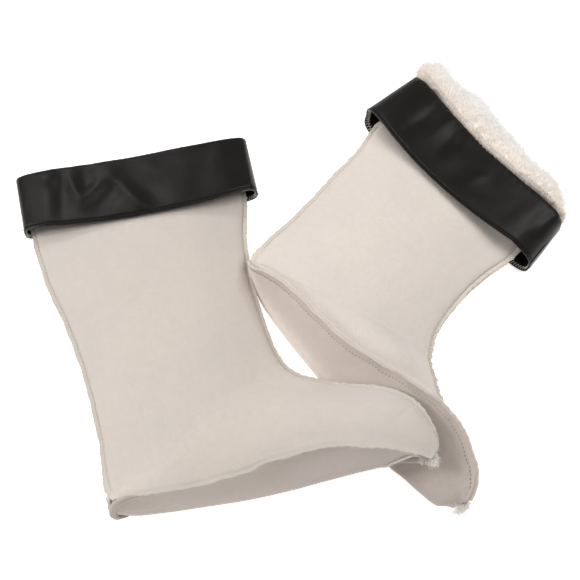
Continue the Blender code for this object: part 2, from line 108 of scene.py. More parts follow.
# Edges of the first liner as it lies, a row for each section from mouth to toe: the front edge, the
# back edge that becomes the seam of the sole at the heel, and the sole where it is widest. Its heights
# follow in the same order, and then the soft folds of its upper panel.
FIRST_OUTLINE = table(
    Outline,
    (0, 158, 322, -41, 313, -41, 313),
    (1, 157, 272, -39, 264, -39, 264),
    (2, 151, 229, -32, 217, -32, 217),
    (3, 150, 196, -20, 176, -20, 176),
    (4, 152.5, 168, -9, 128, -9, 128),
    (5, 155.8, 143, -3, 84, -3, 84),
    (6, 160.3, 120, 0, 44, 0, 44),
    (7, 165, 107, 0, 13, 1, 11),
    (8, 168, 102, 5, -1, 6, -4),
    (9, 172, 97, 14, -3, 15, -6),
    (10, 178, 92, 28, -4.5, 30, -8),
    (11, 189, 86, 62, -5, 63, -8.5),
    (12, 204, 76, 108, -1, 109, -8.5),
    (13, 221, 65, 150, 7, 150, -7),
    (14, 240, 55, 184, 8, 184, -6),
    (15, 256, 45, 213, 2, 212, -6),
    (16, 268, 33, 236, -4, 235, -6.5),
    (17, 275, 17, 254, -10, 252, -11),
    (18, 278, 5, 263, -13, 261, -15),
    (19, 278, -5, 269, -16, 267, -18),
)
FIRST_HEIGHTS = table(
    Heights,
    (0, 20, 20, 0, 35.4, 0, 2.7, 2.7, 0),
    (1, 19, 19, 0, 35.4, 0, 2.7, 2.7, 0),
    (2, 17, 17, 0, 37, 0, 0, 0, 0),
    (4, 17, 19, 0, 40, 0, 0, 0, 0),
    (5, 17, 22, 0, 42, 0, 0, 0, 0),
    (6, 17, 25, 0, 44, 0, 0, 0, 0),
    (7, 17, 28, 0, 45, 0, 0, 0, 0),
    (8, 17, 32, 16, 46, 0, 0, 0, 0),
    (9, 18, 38, 30, 47, 3, 0, 0, 0),
    (10, 18, 42, 37, 48, 7, 0, 0, 0),
    (11, 20, 45, 42, 49, 13, 0, 0, 0),
    (12, 28, 46, 43, 53, 16, 6, 0, 0),
    (13, 43, 50, 44, 58, 16, 27, 3, 0),
    (14, 54, 57, 42, 64, 15, 43, 12, 0),
    (15, 59, 63, 38, 69, 12, 50, 22, 0),
    (16, 60, 65, 32, 69, 9, 51, 30, 0),
    (17, 59, 63, 24, 66, 6, 50, 36, 0),
    (18, 58, 60, 15, 61, 3, 50, 42, 0),
    (19, 57, 58, 8, 58, 0, 51, 47, 0),
)
FIRST_FOLDS = table(
    Fold,
    (14.2, 0.30, 26, 7, 1.6, 35),
    (13.0, 0.78, 30, 9, 1.5, -20),
    (3.2, 0.62, 60, 24, 1.2, 20),
    (15.7, 0.34, 10, 2.2, 1.0, 36),
)

# The second liner has rolled towards its sole, so its panel drops steeply from the raised sole seam
SECOND_OUTLINE = table(
    Outline,
    (0, 136, 227, -42, 228, -42, 228),
    (1, 143, 180, -40, 182, -40, 182),
    (2, 141, 153, -31, 152, -31, 152),
    (3, 143, 128, -25, 118, -25, 118),
    (4, 147, 105, -18, 84, -18, 84),
    (5, 152, 89, -12, 53, -12, 53),
    (6, 157, 78, -8, 26, -8, 26),
    (7, 161, 72, -3.6, 6, -3, 6),
    (8, 164, 68, 4, -3.4, 5, -4),
    (9, 167, 65, 12, -4, 13, -6),
    (10, 170, 62, 22, -2, 27, -11),
    (11, 175, 59, 52, 2, 56, -15.5),
    (12, 180, 56, 90, 2, 91, -18.5),
    (13, 186, 53, 124, 4, 121, -20),
    (14, 194, 49, 156, 13, 149, -22),
    (15, 204, 45, 184, 22, 174, -24),
    (16, 215, 41, 208, 28, 197, -26),
    (17, 228, 35, 229, 30, 217, -26.5),
    (18, 243, 30, 248, 27, 233, -24),
    (19, 259, 23, 265, 21, 249, -22.5),
    (20, 271, 15, 277, 14, 263, -20.5),
    (21, 278, 8, 284, 6, 273, -17),
    (22, 282, 1, 287, -2, 280, -11),
)
SECOND_HEIGHTS = table(
    Heights,
    (0, 20, 20, 0, 35.4, 0, 2.7, 2.7, 0),
    (1, 19, 19, 0, 35.4, 0, 2.7, 2.7, 0),
    (2, 18, 18, 0, 37, 0, 0, 0, 0),
    (4, 18, 21, 0, 40, 0, 0, 0, 0),
    (5, 18, 24, 0, 42, 0, 0, 0, 0),
    (6, 18, 29, 0, 44, 0, 0, 0, 0),
    (7, 18, 31.5, 0, 46, 0, 0, 0, 0),
    (8, 18, 37, 18, 48, 0, 0, 0, 50),
    (9, 18, 44, 33, 49, 4, 0, 0, 85),
    (10, 18, 51, 47, 50, 9, 0, 0, 98),
    (11, 18, 59, 56, 52, 15, 0, 0, 106),
    (12, 18, 64, 61, 54, 18, 0, 0, 110),
    (13, 18, 66, 63, 54, 18, 0, 0, 114),
    (14, 17, 65, 62, 52, 18, 0, 0, 120),
    (15, 16, 62, 59, 49, 18, 0, 0, 124),
    (16, 15, 59, 56, 45, 18, 0, 0, 126),
    (17, 14, 56, 53, 41, 18, 0, 0, 126),
    (18, 13, 52, 49, 38, 17, 0, 0, 126),
    (19, 12, 47, 44, 34, 14, 0, 0, 126),
    (20, 12, 42, 38, 30, 10, 0, 0, 126),
    (21, 12, 36, 29, 26, 6, 0, 0, 124),
    (22, 12, 29, 19, 22, 2, 0, 0, 110),
)
SECOND_FOLDS = table(
    Fold,
    (1.7, 0.55, 80, 16, 1.4, 4),
    (3.4, 0.35, 50, 22, 1.2, 40),
)

# Mouth fur: where each ring of the lip lies, and its size there. Inside the cuff the place is a depth
# in millimetres; beyond it, a share of how far the fur reaches out at that side of the mouth.
FurLip = namedtuple("FurLip", "beyond crown floor half_width")
Reach = namedtuple("Reach", "station length")
FUR_DEEP = -34.0
FUR_CLEAR_OF_FOLD = 1.0
FIRST_FUR = table(
    FurLip,
    (FUR_DEEP, 31.9, 7.6, 79),
    (-12, 31.9, 7.6, 79),
    (-5, 31.0, 8.4, 78),
    (-2.5, 28.0, 11.5, 74),
    (-5, 25.0, 14.6, 68),
    (-12, 24.0, 15.6, 64),
    (FUR_DEEP, 24.0, 15.6, 64),
)
SECOND_FUR = table(
    FurLip,
    (FUR_DEEP, 31.9, 7.6, 72),
    (-3, 31.9, 7.6, 73),
    (0.0, 41.0, 4.5, 78),
    (0.05, 44.5, 3.0, 98),
    (0.22, 45.0, 1.0, 102),
    (0.48, 42.5, 0.4, 103),
    (0.76, 37.0, 2.0, 101),
    (0.95, 31.5, 7.0, 96),
    (1.0, 27.0, 12.0, 90),
    (0.85, 25.2, 14.6, 79),
    (0.3, 24.2, 15.6, 68),
    (FUR_DEEP, 24.0, 15.6, 62),
)
FIRST_REACH = table(Reach, (-1, 1), (1, 1))
SECOND_REACH = table(
    Reach,
    (-1, 24),
    (-0.92, 30),
    (-0.75, 27),
    (-0.45, 30),
    (-0.2, 37),
    (0.05, 31),
    (0.28, 26),
    (0.5, 27),
    (0.8, 18),
    (1, 6),
)
# The second liner's pile lies a little towards the back of its mouth
FUR_SHIFT = {"first": 0.0, "second": -4.5}

FIRST_CUFF = Cuff(
    hem_front=(168, 271), hem_back=(-45, 262), top_front=(165, 330), top_back=(-48, 320),
    crown_hem=42, crown_top=40.4, hem_sag=9, top_sag=4, return_half=80,
)
SECOND_CUFF = Cuff(
    hem_front=(158, 192), hem_back=(-55, 183), top_front=(147, 243), top_back=(-53, 244),
    crown_hem=43, crown_top=41, hem_sag=13, top_sag=9, return_half=74,
)
# The cuff's section: how high its ends stand, how square they are, how far it is flattened underneath,
# and how far its underside has slipped towards the toe
CUFF_MIDDLE_HEIGHT = {"first": 26.0, "second": 19.0}
CUFF_END_POWER = 4.4
CUFF_FLAT_BOTTOM = 1.08
CUFF_SLIP = {"first": -8.0, "second": 5.0}

# The cuff folds over the mouth and comes down inside as a short return
RETURN_CROWN = 32.2
RETURN_FLOOR = 7.3
MOUTH_HEIGHT = 20.0
MOUTH_POWER = 2.0

# A liner's heel corner on the surface, and how far it is turned about it
FIRST = Liner(
    "first", -153.35, -210.32, 9.0, FIRST_OUTLINE, FIRST_HEIGHTS, FIRST_FOLDS,
    FIRST_CUFF, 7.5, 18.5, 0.3, FIRST_FUR, FIRST_REACH,
)
SECOND = Liner(
    "second", -34.65, 12.28, -50.0, SECOND_OUTLINE, SECOND_HEIGHTS, SECOND_FOLDS,
    SECOND_CUFF, 7.5, 22, 1.0, SECOND_FUR, SECOND_REACH,
)
LINERS = (FIRST, SECOND)

# Cut sizes: the width and length of the rectangle that a piece is cut from, and the piece's own area
Cut = namedtuple("Cut", "width length area")

# Sampling of the visible surfaces
STATIONS_PER_ROW = 8
LOWER_STATIONS_PER_ROW = 4
FIN_SHARES = (0.0, 0.3, 0.62, 0.86, 1.0)
NEAR_STITCH = (0.9, 2.0, 4.0)
NARROW_PANEL = 50.0
UPPER_MIDDLE_COLUMNS = 38
LOWER_MIDDLE_COLUMNS = 14
SOLE_WALL_COLUMNS = 16
SOLE_UNDER_COLUMNS = 6
CUFF_AROUND = 192
CUFF_ALONG_STEP = 2.6
FUR_AROUND = 150
FUR_RINGS = 56

# Stitching: the groove and puckers it pulls into the cloth, the distance between stitches, the thread
GROOVE_SHARE = 0.14
GROOVE_WIDTH = 1.0
PUCKER = 0.34
PUCKER_LENGTH = 10.5
STITCH_PITCH = 3.3
STITCH_LENGTH = 2.5
THREAD_RADIUS = 0.25
STITCH_STEPS = np.array([0.0, 0.2, 0.5, 0.8, 1.0])
OVERLOCK_PITCH = 3.2
OVERLOCK_THREAD = 0.25
OVERLOCK_SLANT = 1.1

# Stitches along the cuff's hem, and the loops over its raw edge inside
HEM_STITCH_FROM_EDGE = 3.0
HEM_STITCH_PITCH = 4.2
HEM_STITCH_LENGTH = 3.1
HEM_THREAD_RADIUS = 0.4
HEM_LOOPS = 170
HEM_LOOP_DEPTH = 4.2
HEM_LOOP_RADIUS = 0.3


def clamp(value, low=0.0, high=1.0):
    return min(max(value, low), high)


def ramp(stations, start, reach):
    """A row for each station: 0 as far as a start and 1 from a reach beyond it, which may be before it."""
    return np.clip((np.asarray(stations) - start) / reach, 0, 1)[:, None]


def unit(vectors):
    """The directions of an array of vectors, each of length 1."""
    return vectors / np.maximum(np.linalg.norm(vectors, axis=-1, keepdims=True), 1e-9)


def running(places):
    """Distance from the first place along each line of places."""
    steps = np.linalg.norm(np.diff(places, axis=-2), axis=-1)
    return np.insert(np.cumsum(steps, axis=-1), 0, 0.0, axis=-1)


def hump(distance, width):
    """1 at a line, falling off evenly on both sides of it."""
    return math.exp(-((distance / width) ** 2))


def uneven(x, y, z):
    """Smooth unevenness, from about -1 to 1."""
    return noise.noise(Vector((x, y, z)))


def pressed(x, y, mark):
    """Depth of one soft mark at a distance from its middle, with its long side turned by its slant."""
    slant = math.radians(mark.slant)
    along = x * math.cos(slant) + y * math.sin(slant)
    beside = y * math.cos(slant) - x * math.sin(slant)
    return mark.depth * math.exp(-((along / mark.length) ** 2) - (beside / mark.width) ** 2)


def new_object(name, data):
    """Adds an object to the scene at its origin."""
    item = bpy.data.objects.new(name, data)
    bpy.context.scene.collection.objects.link(item)
    return item


def column_curve(rows, column):
    """A smooth curve through one column of a table, which never swings past the rows' own values."""
    xs = [float(row.station) for row in rows]
    ys = [float(getattr(row, column)) for row in rows]
    steps = [(ys[i + 1] - ys[i]) / (xs[i + 1] - xs[i]) for i in range(len(xs) - 1)]
    slopes = [steps[0]]
    for before, after in zip(steps, steps[1:]):
        same_way = before * after > 0
        slopes.append(2 * before * after / (before + after) if same_way else 0.0)
    slopes.append(steps[-1])

    def value(x):
        i = min(max(bisect_right(xs, x) - 1, 0), len(xs) - 2)
        width = xs[i + 1] - xs[i]
        t = (x - xs[i]) / width
        start = (1 + 2 * t) * (1 - t) ** 2 * ys[i] + t * (1 - t) ** 2 * width * slopes[i]
        end = t * t * (3 - 2 * t) * ys[i + 1] + t * t * (t - 1) * width * slopes[i + 1]
        return start + end

    return value


def bezier(start, leave, arrive, end, t):
    u = 1 - t
    return start * u**3 + leave * (3 * u * u * t) + arrive * (3 * u * t * t) + end * t**3


def stations_between(first, last, per_row):
    count = round((last - first) * per_row)
    return [first + i / per_row for i in range(count + 1)]


class Form:
    """The smooth form of one liner at any station between its mouth and its toe."""

    def __init__(self, liner):
        self.liner = liner
        self.last = liner.outline[-1].station
        self.curves = {c: column_curve(liner.outline, c) for c in Outline._fields[1:]}
        self.curves.update({c: column_curve(liner.heights, c) for c in Heights._fields[1:]})
        self.turn = math.radians(liner.turn)
        self.stations = stations_between(0, self.last, STATIONS_PER_ROW)
        self.runs = {side: self.edge_runs(side) for side in ("front", "back")}

    def at(self, column, station):
        return self.curves[column](clamp(station, 0.0, self.last))

    def edge(self, side, station):
        return Vector((self.at(side + "_a", station), self.at(side + "_b", station), 0.0))

    def edge_runs(self, side):
        """Distance along an edge from the mouth, at each sampled station."""
        places = [self.edge(side, station) for station in self.stations]
        runs = [0.0]
        for before, after in zip(places, places[1:]):
            runs.append(runs[-1] + (after - before).length)
        return runs

    def run(self, side, station):
        return float(np.interp(station, self.stations, self.runs[side]))

    def outward(self, side, station):
        """Horizontal direction out of the liner, square to the front, back or sole edge."""
        step = 0.02
        ahead = self.edge(side, min(station + step, self.last))
        behind = self.edge(side, max(station - step, 0.0))
        along = ahead - behind
        facing = -1 if side == "front" else 1
        return Vector((facing * along.y, -facing * along.x, 0.0)).normalized()

    def fin_width(self, station):
        across = self.edge("front", station) - self.edge("back", station)
        rise = self.at("back_z", station) - self.at("front_z", station)
        widest = FIN_SHARE_OF_WIDTH * math.hypot(across.length, rise)
        tapered = FIN_AT_TOE + FIN_TAPER * (self.last - station)
        return min(FIN_WIDTH, widest, tapered)

    def sole_share(self, station):
        """0 on the back edge above the heel, 1 where the edge is the sole's seam."""
        return clamp(station - self.liner.heel + 1)

    def placed_all(self, points):
        """Points of the liner's own frame, in millimetres, as they lie among the pair."""
        c, s = math.cos(self.turn), math.sin(self.turn)
        out = np.array(points, float)
        x, y = out[..., 0].copy(), out[..., 1].copy()
        out[..., 0] = x * c - y * s + self.liner.x
        out[..., 1] = x * s + y * c + self.liner.y
        return out


# How much the raw edges wander: ripples and the scallops between the loops of thread, by their size
# and their length along the edge, and where deeper scallops start on the first liner's toe
FRONT_WANDER = {"first": 0.7, "second": 1.3}
RIPPLE = 0.42
RIPPLE_LENGTH = 7.5
SCALLOP = 0.22
SCALLOP_LENGTH = 3.4
TOE_SCALLOP = 0.45
TOE_SCALLOP_FROM = 290


def scallop(run):
    return abs(math.sin(run * math.pi / SCALLOP_LENGTH))


def seam_wave(run, sole_share, seed):
    """How far a seam's raw edge wanders outwards and upwards at a distance along it, in millimetres."""
    size = 0.45 + 0.75 * sole_share
    outwards = size * uneven(run / 17.0, seed, 0.0) * 1.6
    outwards += RIPPLE * math.sin(run * 2 * math.pi / RIPPLE_LENGTH + seed + 1.5 * math.sin(run / 13.0))
    outwards += SCALLOP * scallop(run)
    upwards = (0.5 + 0.5 * sole_share) * uneven(run / 21.0, seed, 7.0) * 1.6
    return outwards, upwards


class Section:
    """One cross section of a liner: the edges, fins and levels that its sewn pieces share."""

    def __init__(self, form, station):
        self.form = form
        self.station = station
        liner = form.liner
        self.fin = form.fin_width(station)
        self.swell = form.at("swell", station)
        self.front_run = form.run("front", station)
        self.back_run = form.run("back", station)
        self.front_out = form.outward("front", station)
        self.front_edge = form.edge("front", station) + UP * form.at("front_z", station)
        turn = math.radians(form.at("fin_turn", station))
        out = form.outward("back", station)
        self.along_fin = out * math.cos(turn) + UP * math.sin(turn)
        self.panel_side = UP * math.cos(turn) - out * math.sin(turn)
        self.back_edge = form.edge("back", station) + UP * form.at("back_z", station)
        taper = clamp((form.last - station) / 2.0)
        wander = FRONT_WANDER[liner.name] * taper
        self.front_wave = [w * wander for w in seam_wave(self.front_run, 0.0, 3.1 + liner.turn)]
        if liner.name == "first":
            toe_share = clamp((self.front_run - TOE_SCALLOP_FROM) / 30)
            self.front_wave[0] += TOE_SCALLOP * toe_share * taper * scallop(self.front_run)
        self.back_wave = [w * taper for w in seam_wave(self.back_run, form.sole_share(station), liner.turn)]

    def fin_point(self, edge, outwards, wave, upwards, share, lift):
        wander = 1 - 0.65 * share
        return edge + outwards * (wave[0] * wander - self.fin * share) + upwards * (lift + wave[1] * wander)

    def front_fin(self, share, lift):
        """A point of the front fin, from its raw edge at 0 to its stitches at 1, lifted off the seam."""
        return self.fin_point(self.front_edge, self.front_out, self.front_wave, UP, share, lift)

    def back_fin(self, share, lift):
        """The same on the fin of the back seam or of the sole's seam."""
        return self.fin_point(self.back_edge, self.along_fin, self.back_wave, self.panel_side, share, lift)

    def upper(self, column):
        """Inner face of the upper panel, its distance from the nearer stitches, and 1 on a fin."""
        zone, value = column
        if zone == "front fin":
            return self.front_fin(value, SEAM_GAP / 2), (1 - value) * self.fin, 1.0
        if zone == "back fin":
            return self.back_fin(value, SEAM_GAP / 2), (1 - value) * self.fin, 1.0
        front_root, back_root = self.front_fin(1.0, SEAM_GAP / 2), self.back_fin(1.0, SEAM_GAP / 2)
        span = (back_root - front_root).length
        t = between_stitches(zone, value, span)
        place = front_root.lerp(back_root, t)
        from_front = max(1 - 2 * t, 0.0) ** UPPER_SHOULDER_POWER
        from_back = max(2 * t - 1, 0.0) ** UPPER_SHOULDER_POWER
        swell = self.swell
        level = swell + (front_root.z - swell) * from_front + (back_root.z - swell) * from_back
        slope = abs(back_root.z - front_root.z) / (back_root - front_root).xy.length
        steep = clamp((slope - STEEP_FROM) / (STEEP_TO - STEEP_FROM))
        place.z = level + (place.z - level) * steep
        return place, min(t, 1 - t) * span, 0.0

    def lower_seam(self):
        """Edge of the sole under the liner; above the heel it is the back edge itself."""
        form, station = self.form, self.station
        drop = UP * (form.at("back_z", station) - form.at("opening", station))
        if station <= form.liner.heel - 1:
            return form.edge("back", station) + drop
        tuck = form.outward("sole", station) * form.at("sole_tuck", station)
        seam = form.edge("sole", station) - tuck
        above_heel = clamp(form.liner.heel - station)
        return seam.lerp(form.edge("back", station), above_heel) + drop

    def lower(self, column):
        """Inner face of the lower panel, which turns down from its seams and lies on the surface."""
        zone, value = column
        form, station = self.form, self.station
        heel_share = form.sole_share(station)
        out = form.outward("back", station).lerp(form.outward("sole", station), heel_share).normalized()
        if zone == "front fin":
            return self.front_fin(value, -SEAM_GAP / 2), (1 - value) * self.fin, 1.0
        wander = (1 - heel_share) * (1 - 0.65 * (value if zone == "back fin" else 1.0))
        back = self.lower_seam() - out * (SEAM_GAP * heel_share - self.back_wave[0] * wander)
        back += UP * (self.back_wave[1] * wander - SEAM_GAP / 2 * (1 - heel_share))
        if zone == "back fin":
            return back - out * (self.fin * value), (1 - value) * self.fin, 1.0
        front_root = self.front_fin(1.0, -SEAM_GAP / 2)
        back_root = back - out * self.fin
        span = (front_root.xy - back_root.xy).length
        t = between_stitches(zone, value, span)
        place = front_root.lerp(back_root, t)
        shoulder = min(LOWER_SHOULDER, span / 2)
        floor = PANEL_CLOTH + (1 - t) * form.at("lift_front", station) + t * form.at("lift_back", station)
        rise = (front_root.z - floor) * shoulder_share(span * t, shoulder)
        rise += (back_root.z - floor) * shoulder_share(span * (1 - t), shoulder)
        place.z = floor + rise
        return place, min(t, 1 - t) * span, 0.0

    def sole(self, column):
        """Inner face of the sole, which starts and ends as a plain strip between its two seams."""
        liner = self.form.liner
        zone, value = column
        start, end = self.full_sole(("fin", 0.0)), self.full_sole(("under", 1.0))
        from_end = min(self.station - liner.heel, liner.toe - self.station)
        grown = min(from_end / SOLE_GROWTH, 1.0)
        share = {"fin": 0.12 * value, "wall": 0.12 + 0.53 * value, "under": 0.65 + 0.35 * value}[zone]
        return start.lerp(end, share).lerp(self.full_sole(column), grown)

    def full_sole(self, column):
        """The sole from its fin at the upper seam down its wall and under the liner."""
        zone, value = column
        form, station = self.form, self.station
        if zone == "fin":
            return self.back_fin(value, -SEAM_GAP / 2)
        root = self.back_fin(1.0, -SEAM_GAP / 2)
        under = self.lower_seam()
        opening = min(1.0, form.at("opening", station) / SOLE_FULL_HEIGHT)
        widest = form.edge("sole", station)
        widest.z = under.z + SOLE_ROUND * opening
        if zone == "wall":
            fall = root - widest
            handle = fall.length * SOLE_HANDLE
            bend = (UP * handle).lerp(fall.normalized() * handle, form.liner.sole_flatness)
            return bezier(root, root - bend, widest + bend, widest, value)
        angle = value * math.pi / 2
        tuck = widest.xy - under.xy
        place = under.copy()
        place.x += tuck.x * math.cos(angle)
        place.y += tuck.y * math.cos(angle)
        place.z = widest.z - (widest.z - under.z) * math.sin(angle)
        return place


def shoulder_share(distance, shoulder):
    """1 at a seam, falling to 0 where the panel has reached the surface."""
    return (1 - min(distance / shoulder, 1.0)) ** LOWER_SHOULDER_POWER


def between_stitches(zone, value, span):
    """Share of the way from the front stitches to the back ones for one column of a panel."""
    scale = min(1.0, span / NARROW_PANEL)
    if zone == "near front":
        return value * scale / span
    if zone == "near back":
        return 1 - value * scale / span
    inset = NEAR_STITCH[-1] * scale / span
    return inset + value * (1 - 2 * inset)


def panel_columns(middle):
    """Columns of a side panel: over the front fin, beside its stitches, the middle and so to the back."""
    columns = [("front fin", share) for share in FIN_SHARES]
    columns += [("near front", away) for away in NEAR_STITCH]
    columns += [("middle", k / middle) for k in range(1, middle)]
    columns += [("near back", away) for away in reversed(NEAR_STITCH)]
    columns += [("back fin", share) for share in reversed(FIN_SHARES)]
    return columns


def sole_columns():
    """Columns of a sole: over its fin, down its wall and under the liner."""
    columns = [("fin", share) for share in FIN_SHARES]
    columns += [("wall", k / SOLE_WALL_COLUMNS) for k in range(1, SOLE_WALL_COLUMNS + 1)]
    columns += [("under", k / SOLE_UNDER_COLUMNS) for k in range(1, SOLE_UNDER_COLUMNS + 1)]
    return columns


def groove(distance):
    """Share of the cloth's thickness that is left at a distance from a row of stitches."""
    return 1 - GROOVE_SHARE * hump(distance, GROOVE_WIDTH)


def fold_depth(form, place):
    """Depth of the soft folds pressed into the upper panel at one place."""
    depth = 0.0
    for fold in form.liner.folds:
        centre = form.edge("front", fold.station).lerp(form.edge("back", fold.station), fold.across)
        depth += pressed(place[0] - centre.x, place[1] - centre.y, fold)
    return depth


def cloth_relief(place, distance, run, seed):
    """Unevenness of a laid knit panel: broad soft swells, and puckers beside the stitches."""
    broad = uneven(place[0] / 52.0, place[1] / 52.0, seed)
    small = 0.28 * uneven(place[0] / 16.0, place[1] / 16.0, seed + 5.0)
    wander = 2.4 * uneven(run / 30.0, seed, 2.0)
    pucker = PUCKER * math.sin(2 * math.pi * run / PUCKER_LENGTH + wander) * math.exp(-distance / 6.5)
    return (broad + small) * (1 - math.exp(-distance / 9.0)) + pucker * (1 - math.exp(-distance / 1.6))


def corner_pull(form, points, columns, rounds=60):
    """Draws the stitch line round the heel's tight corner, so that the cloth's rows don't cross there."""
    root = len(columns) - len(FIN_SHARES)
    line = points[:, root].copy()
    eased = line.copy()
    for _ in range(rounds):
        eased[1:-1] += 0.5 * ((eased[:-2] + eased[2:]) / 2 - eased[1:-1])
    near = np.array([clamp(2.2 - abs(station - form.liner.heel - 0.4)) for station in form.stations])
    shift = (eased - line) * near[:, None]
    for j, (zone, value) in enumerate(columns):
        pull = {"front fin": 0.0, "near front": 0.01, "middle": value, "near back": 0.98, "back fin": value}
        points[:, j] += shift * pull[zone]


def smoothed_heights(points, rounds, fixed):
    """Evens out a panel's heights between its fins, so that it swells softly from heel to instep."""
    z = points[:, :, 2]
    for _ in range(rounds):
        even = z.copy()
        even[1:-1, 1:-1] = (z[:-2, 1:-1] + z[2:, 1:-1] + z[1:-1, :-2] + z[1:-1, 2:]) / 4
        inside = slice(fixed, -fixed)
        z[:, inside] += EVENED_SHARE * (even[:, inside] - z[:, inside])


def soft_sole_seam(form, points, rounds=36):
    """Rounds a panel over onto its sole's seam, where the stitches lie loose."""
    near = -len(FIN_SHARES) - 9
    z = points[:, near:, 2]
    past_heel = ramp(np.array(form.stations) - form.liner.heel, 0.6, 1.0)
    eased = z.copy()
    for _ in range(rounds):
        eased[:, 1:-1] = (eased[:, :-2] + eased[:, 2:]) / 2
    z += (np.maximum(eased, z) - z) * past_heel


def placed_grid(name, points, extras=None, uv=None, wrap_columns=False, wrap_rows=False):
    """A grid primitive whose crossing (i, j) is moved to points[i, j]; wrapped sides are joined."""
    columns = points.shape[0] - (0 if wrap_columns else 1)
    rows = points.shape[1] - (0 if wrap_rows else 1)
    mesh = bpy.data.meshes.new(name)
    grid = bmesh.new()
    bmesh.ops.create_grid(grid, x_segments=columns, y_segments=rows, size=1.0)
    layers = {key: grid.verts.layers.float.new(key) for key in (extras or {})}
    crossing = {}
    for vert in grid.verts:
        i = round((vert.co.x + 1) / 2 * columns)
        j = round((vert.co.y + 1) / 2 * rows)
        crossing[vert] = (i, j)
        i, j = i % points.shape[0], j % points.shape[1]
        vert.co = Vector(points[i, j]) * MM
        for key, layer in layers.items():
            vert[layer] = float(extras[key][i, j])
    if uv is not None:
        uv_layer = grid.loops.layers.uv.new("cloth")
        for face in grid.faces:
            for loop in face.loops:
                i, j = crossing[loop.vert]
                loop[uv_layer].uv = uv[min(i, uv.shape[0] - 1), min(j, uv.shape[1] - 1)] * MM
    if wrap_columns or wrap_rows:
        bmesh.ops.remove_doubles(grid, verts=grid.verts, dist=1e-6)
    grid.to_mesh(mesh)
    grid.free()
    mesh.shade_smooth()
    return new_object(name, mesh)


def add_thickness(piece, thickness, side, share_layer=None, edge_round=0.0):
    """A wall on one side of the surface, thinner where the share layer says, with rounded edges."""
    solidify = piece.modifiers.new("cloth", "SOLIDIFY")
    solidify.thickness = thickness * MM
    solidify.offset = side
    if share_layer:
        group = piece.vertex_groups.new(name="thickness")
        shares = piece.data.attributes[share_layer].data
        for index, share in enumerate(shares):
            group.add([index], share.value, "REPLACE")
        solidify.vertex_group = group.name
    if edge_round:
        bevel = piece.modifiers.new("edges", "BEVEL")
        bevel.width = edge_round * MM
        bevel.segments = 2
        bevel.limit_method = "ANGLE"
        bevel.angle_limit = math.radians(55)


def sampled(form, stations, columns, method):
    """Points, distances from the stitches and fin marks of one piece, as arrays."""
    sections = [Section(form, station) for station in stations]
    rows = [[getattr(section, method)(column) for column in columns] for section in sections]
    points, away, fins = (np.array([[cell[k] for cell in row] for row in rows], float) for k in range(3))
    return sections, points, away, fins


def seam_layers(away, allowance, **others):
    """The layers that thin and tint a cloth beside its stitches, with any others of its own."""
    share = np.vectorize(groove)(away)
    return {"share": share, "allowance": allowance, "seam": np.exp(-((away / 0.9) ** 2)), **others}


def panel_piece(form, which, points, away, fins, side):
    """A panel's mesh from its inner face, with the cloth's thickness on one side of it."""
    name = f"{form.liner.name}_{which}_cloth"
    piece = placed_grid(name, form.placed_all(points), seam_layers(away, fins), points[:, :, :2])
    add_thickness(piece, PANEL_CLOTH, side, "share", 0.7)
    return piece


# Rounds of evening out and the share of each, how far the knit is pressed down under the cuff, and how
# near the seams the folds and that drop fade out
PANEL_SMOOTHING = 60
EVENED_SHARE = 0.7
UNDER_CUFF_DROP = 3.5
FOLD_FADE = 8.0
DROP_FADE = 12.0


def upper_panel(form):
    """The knit side that faces up, with its folds and relief, pressed down under the cuff."""
    columns = panel_columns(UPPER_MIDDLE_COLUMNS)
    sections, points, away, fins = sampled(form, form.stations, columns, "upper")
    corner_pull(form, points, columns)
    smoothed_heights(points, PANEL_SMOOTHING, len(FIN_SHARES) + 1)
    for i, section in enumerate(sections):
        for j in range(len(columns)):
            if fins[i, j]:
                continue
            run = section.front_run if j < len(columns) / 2 else section.back_run
            points[i, j, 2] += cloth_relief(points[i, j], away[i, j], run, form.liner.turn)
            points[i, j, 2] -= fold_depth(form, points[i, j]) * (1 - math.exp(-away[i, j] / FOLD_FADE))
    under_cuff = ramp(form.stations, 1.35, -0.5)
    points[:, :, 2] -= UNDER_CUFF_DROP * under_cuff * (1 - np.exp(-away / DROP_FADE))
    past_heel = ramp(np.array(form.stations) - form.liner.heel, 0.2, 1.0)
    back = len(columns) // 2
    soft_sole_seam(form, points)
    if form.liner.name == "second":
        fins[:, back:] *= 1 - past_heel
    away[:, back:] += 20.0 * past_heel
    return panel_piece(form, "upper", points, away, fins, -1)


def lower_panel(form):
    """The knit side that lies on the surface."""
    stations = stations_between(0, form.last, LOWER_STATIONS_PER_ROW)
    columns = panel_columns(LOWER_MIDDLE_COLUMNS)
    _, points, away, fins = sampled(form, stations, columns, "lower")
    return panel_piece(form, "lower", points, away, fins, 1)


# The fold across the first toe's sole, from its lower end to the upper seam, and the pleats beyond it:
# where each starts across the sole, how much it spreads and how deep it is
TOE_FOLD_FROM = 15.35
TOE_FOLD_TO = 17.4
TOE_FOLD_RADIUS = 1.3
TOE_FOLD_OFFSET = (0.0, -SOLE_CLOTH - 0.2, 0.8)
TOE_PLEATS = ((0.26, 0.10, 4.6), (0.44, 0.26, 4.2), (0.62, 0.20, 4.0))
PLEAT_WIDTH = 0.055
POCKET_DEPTH = 3.5


def toe_fold_share(station):
    """Where that fold crosses the sole, from 0 at the sole's upper seam to 1 at its lower one."""
    return 1.02 - 0.9 * (station - 15.3) / 2.0


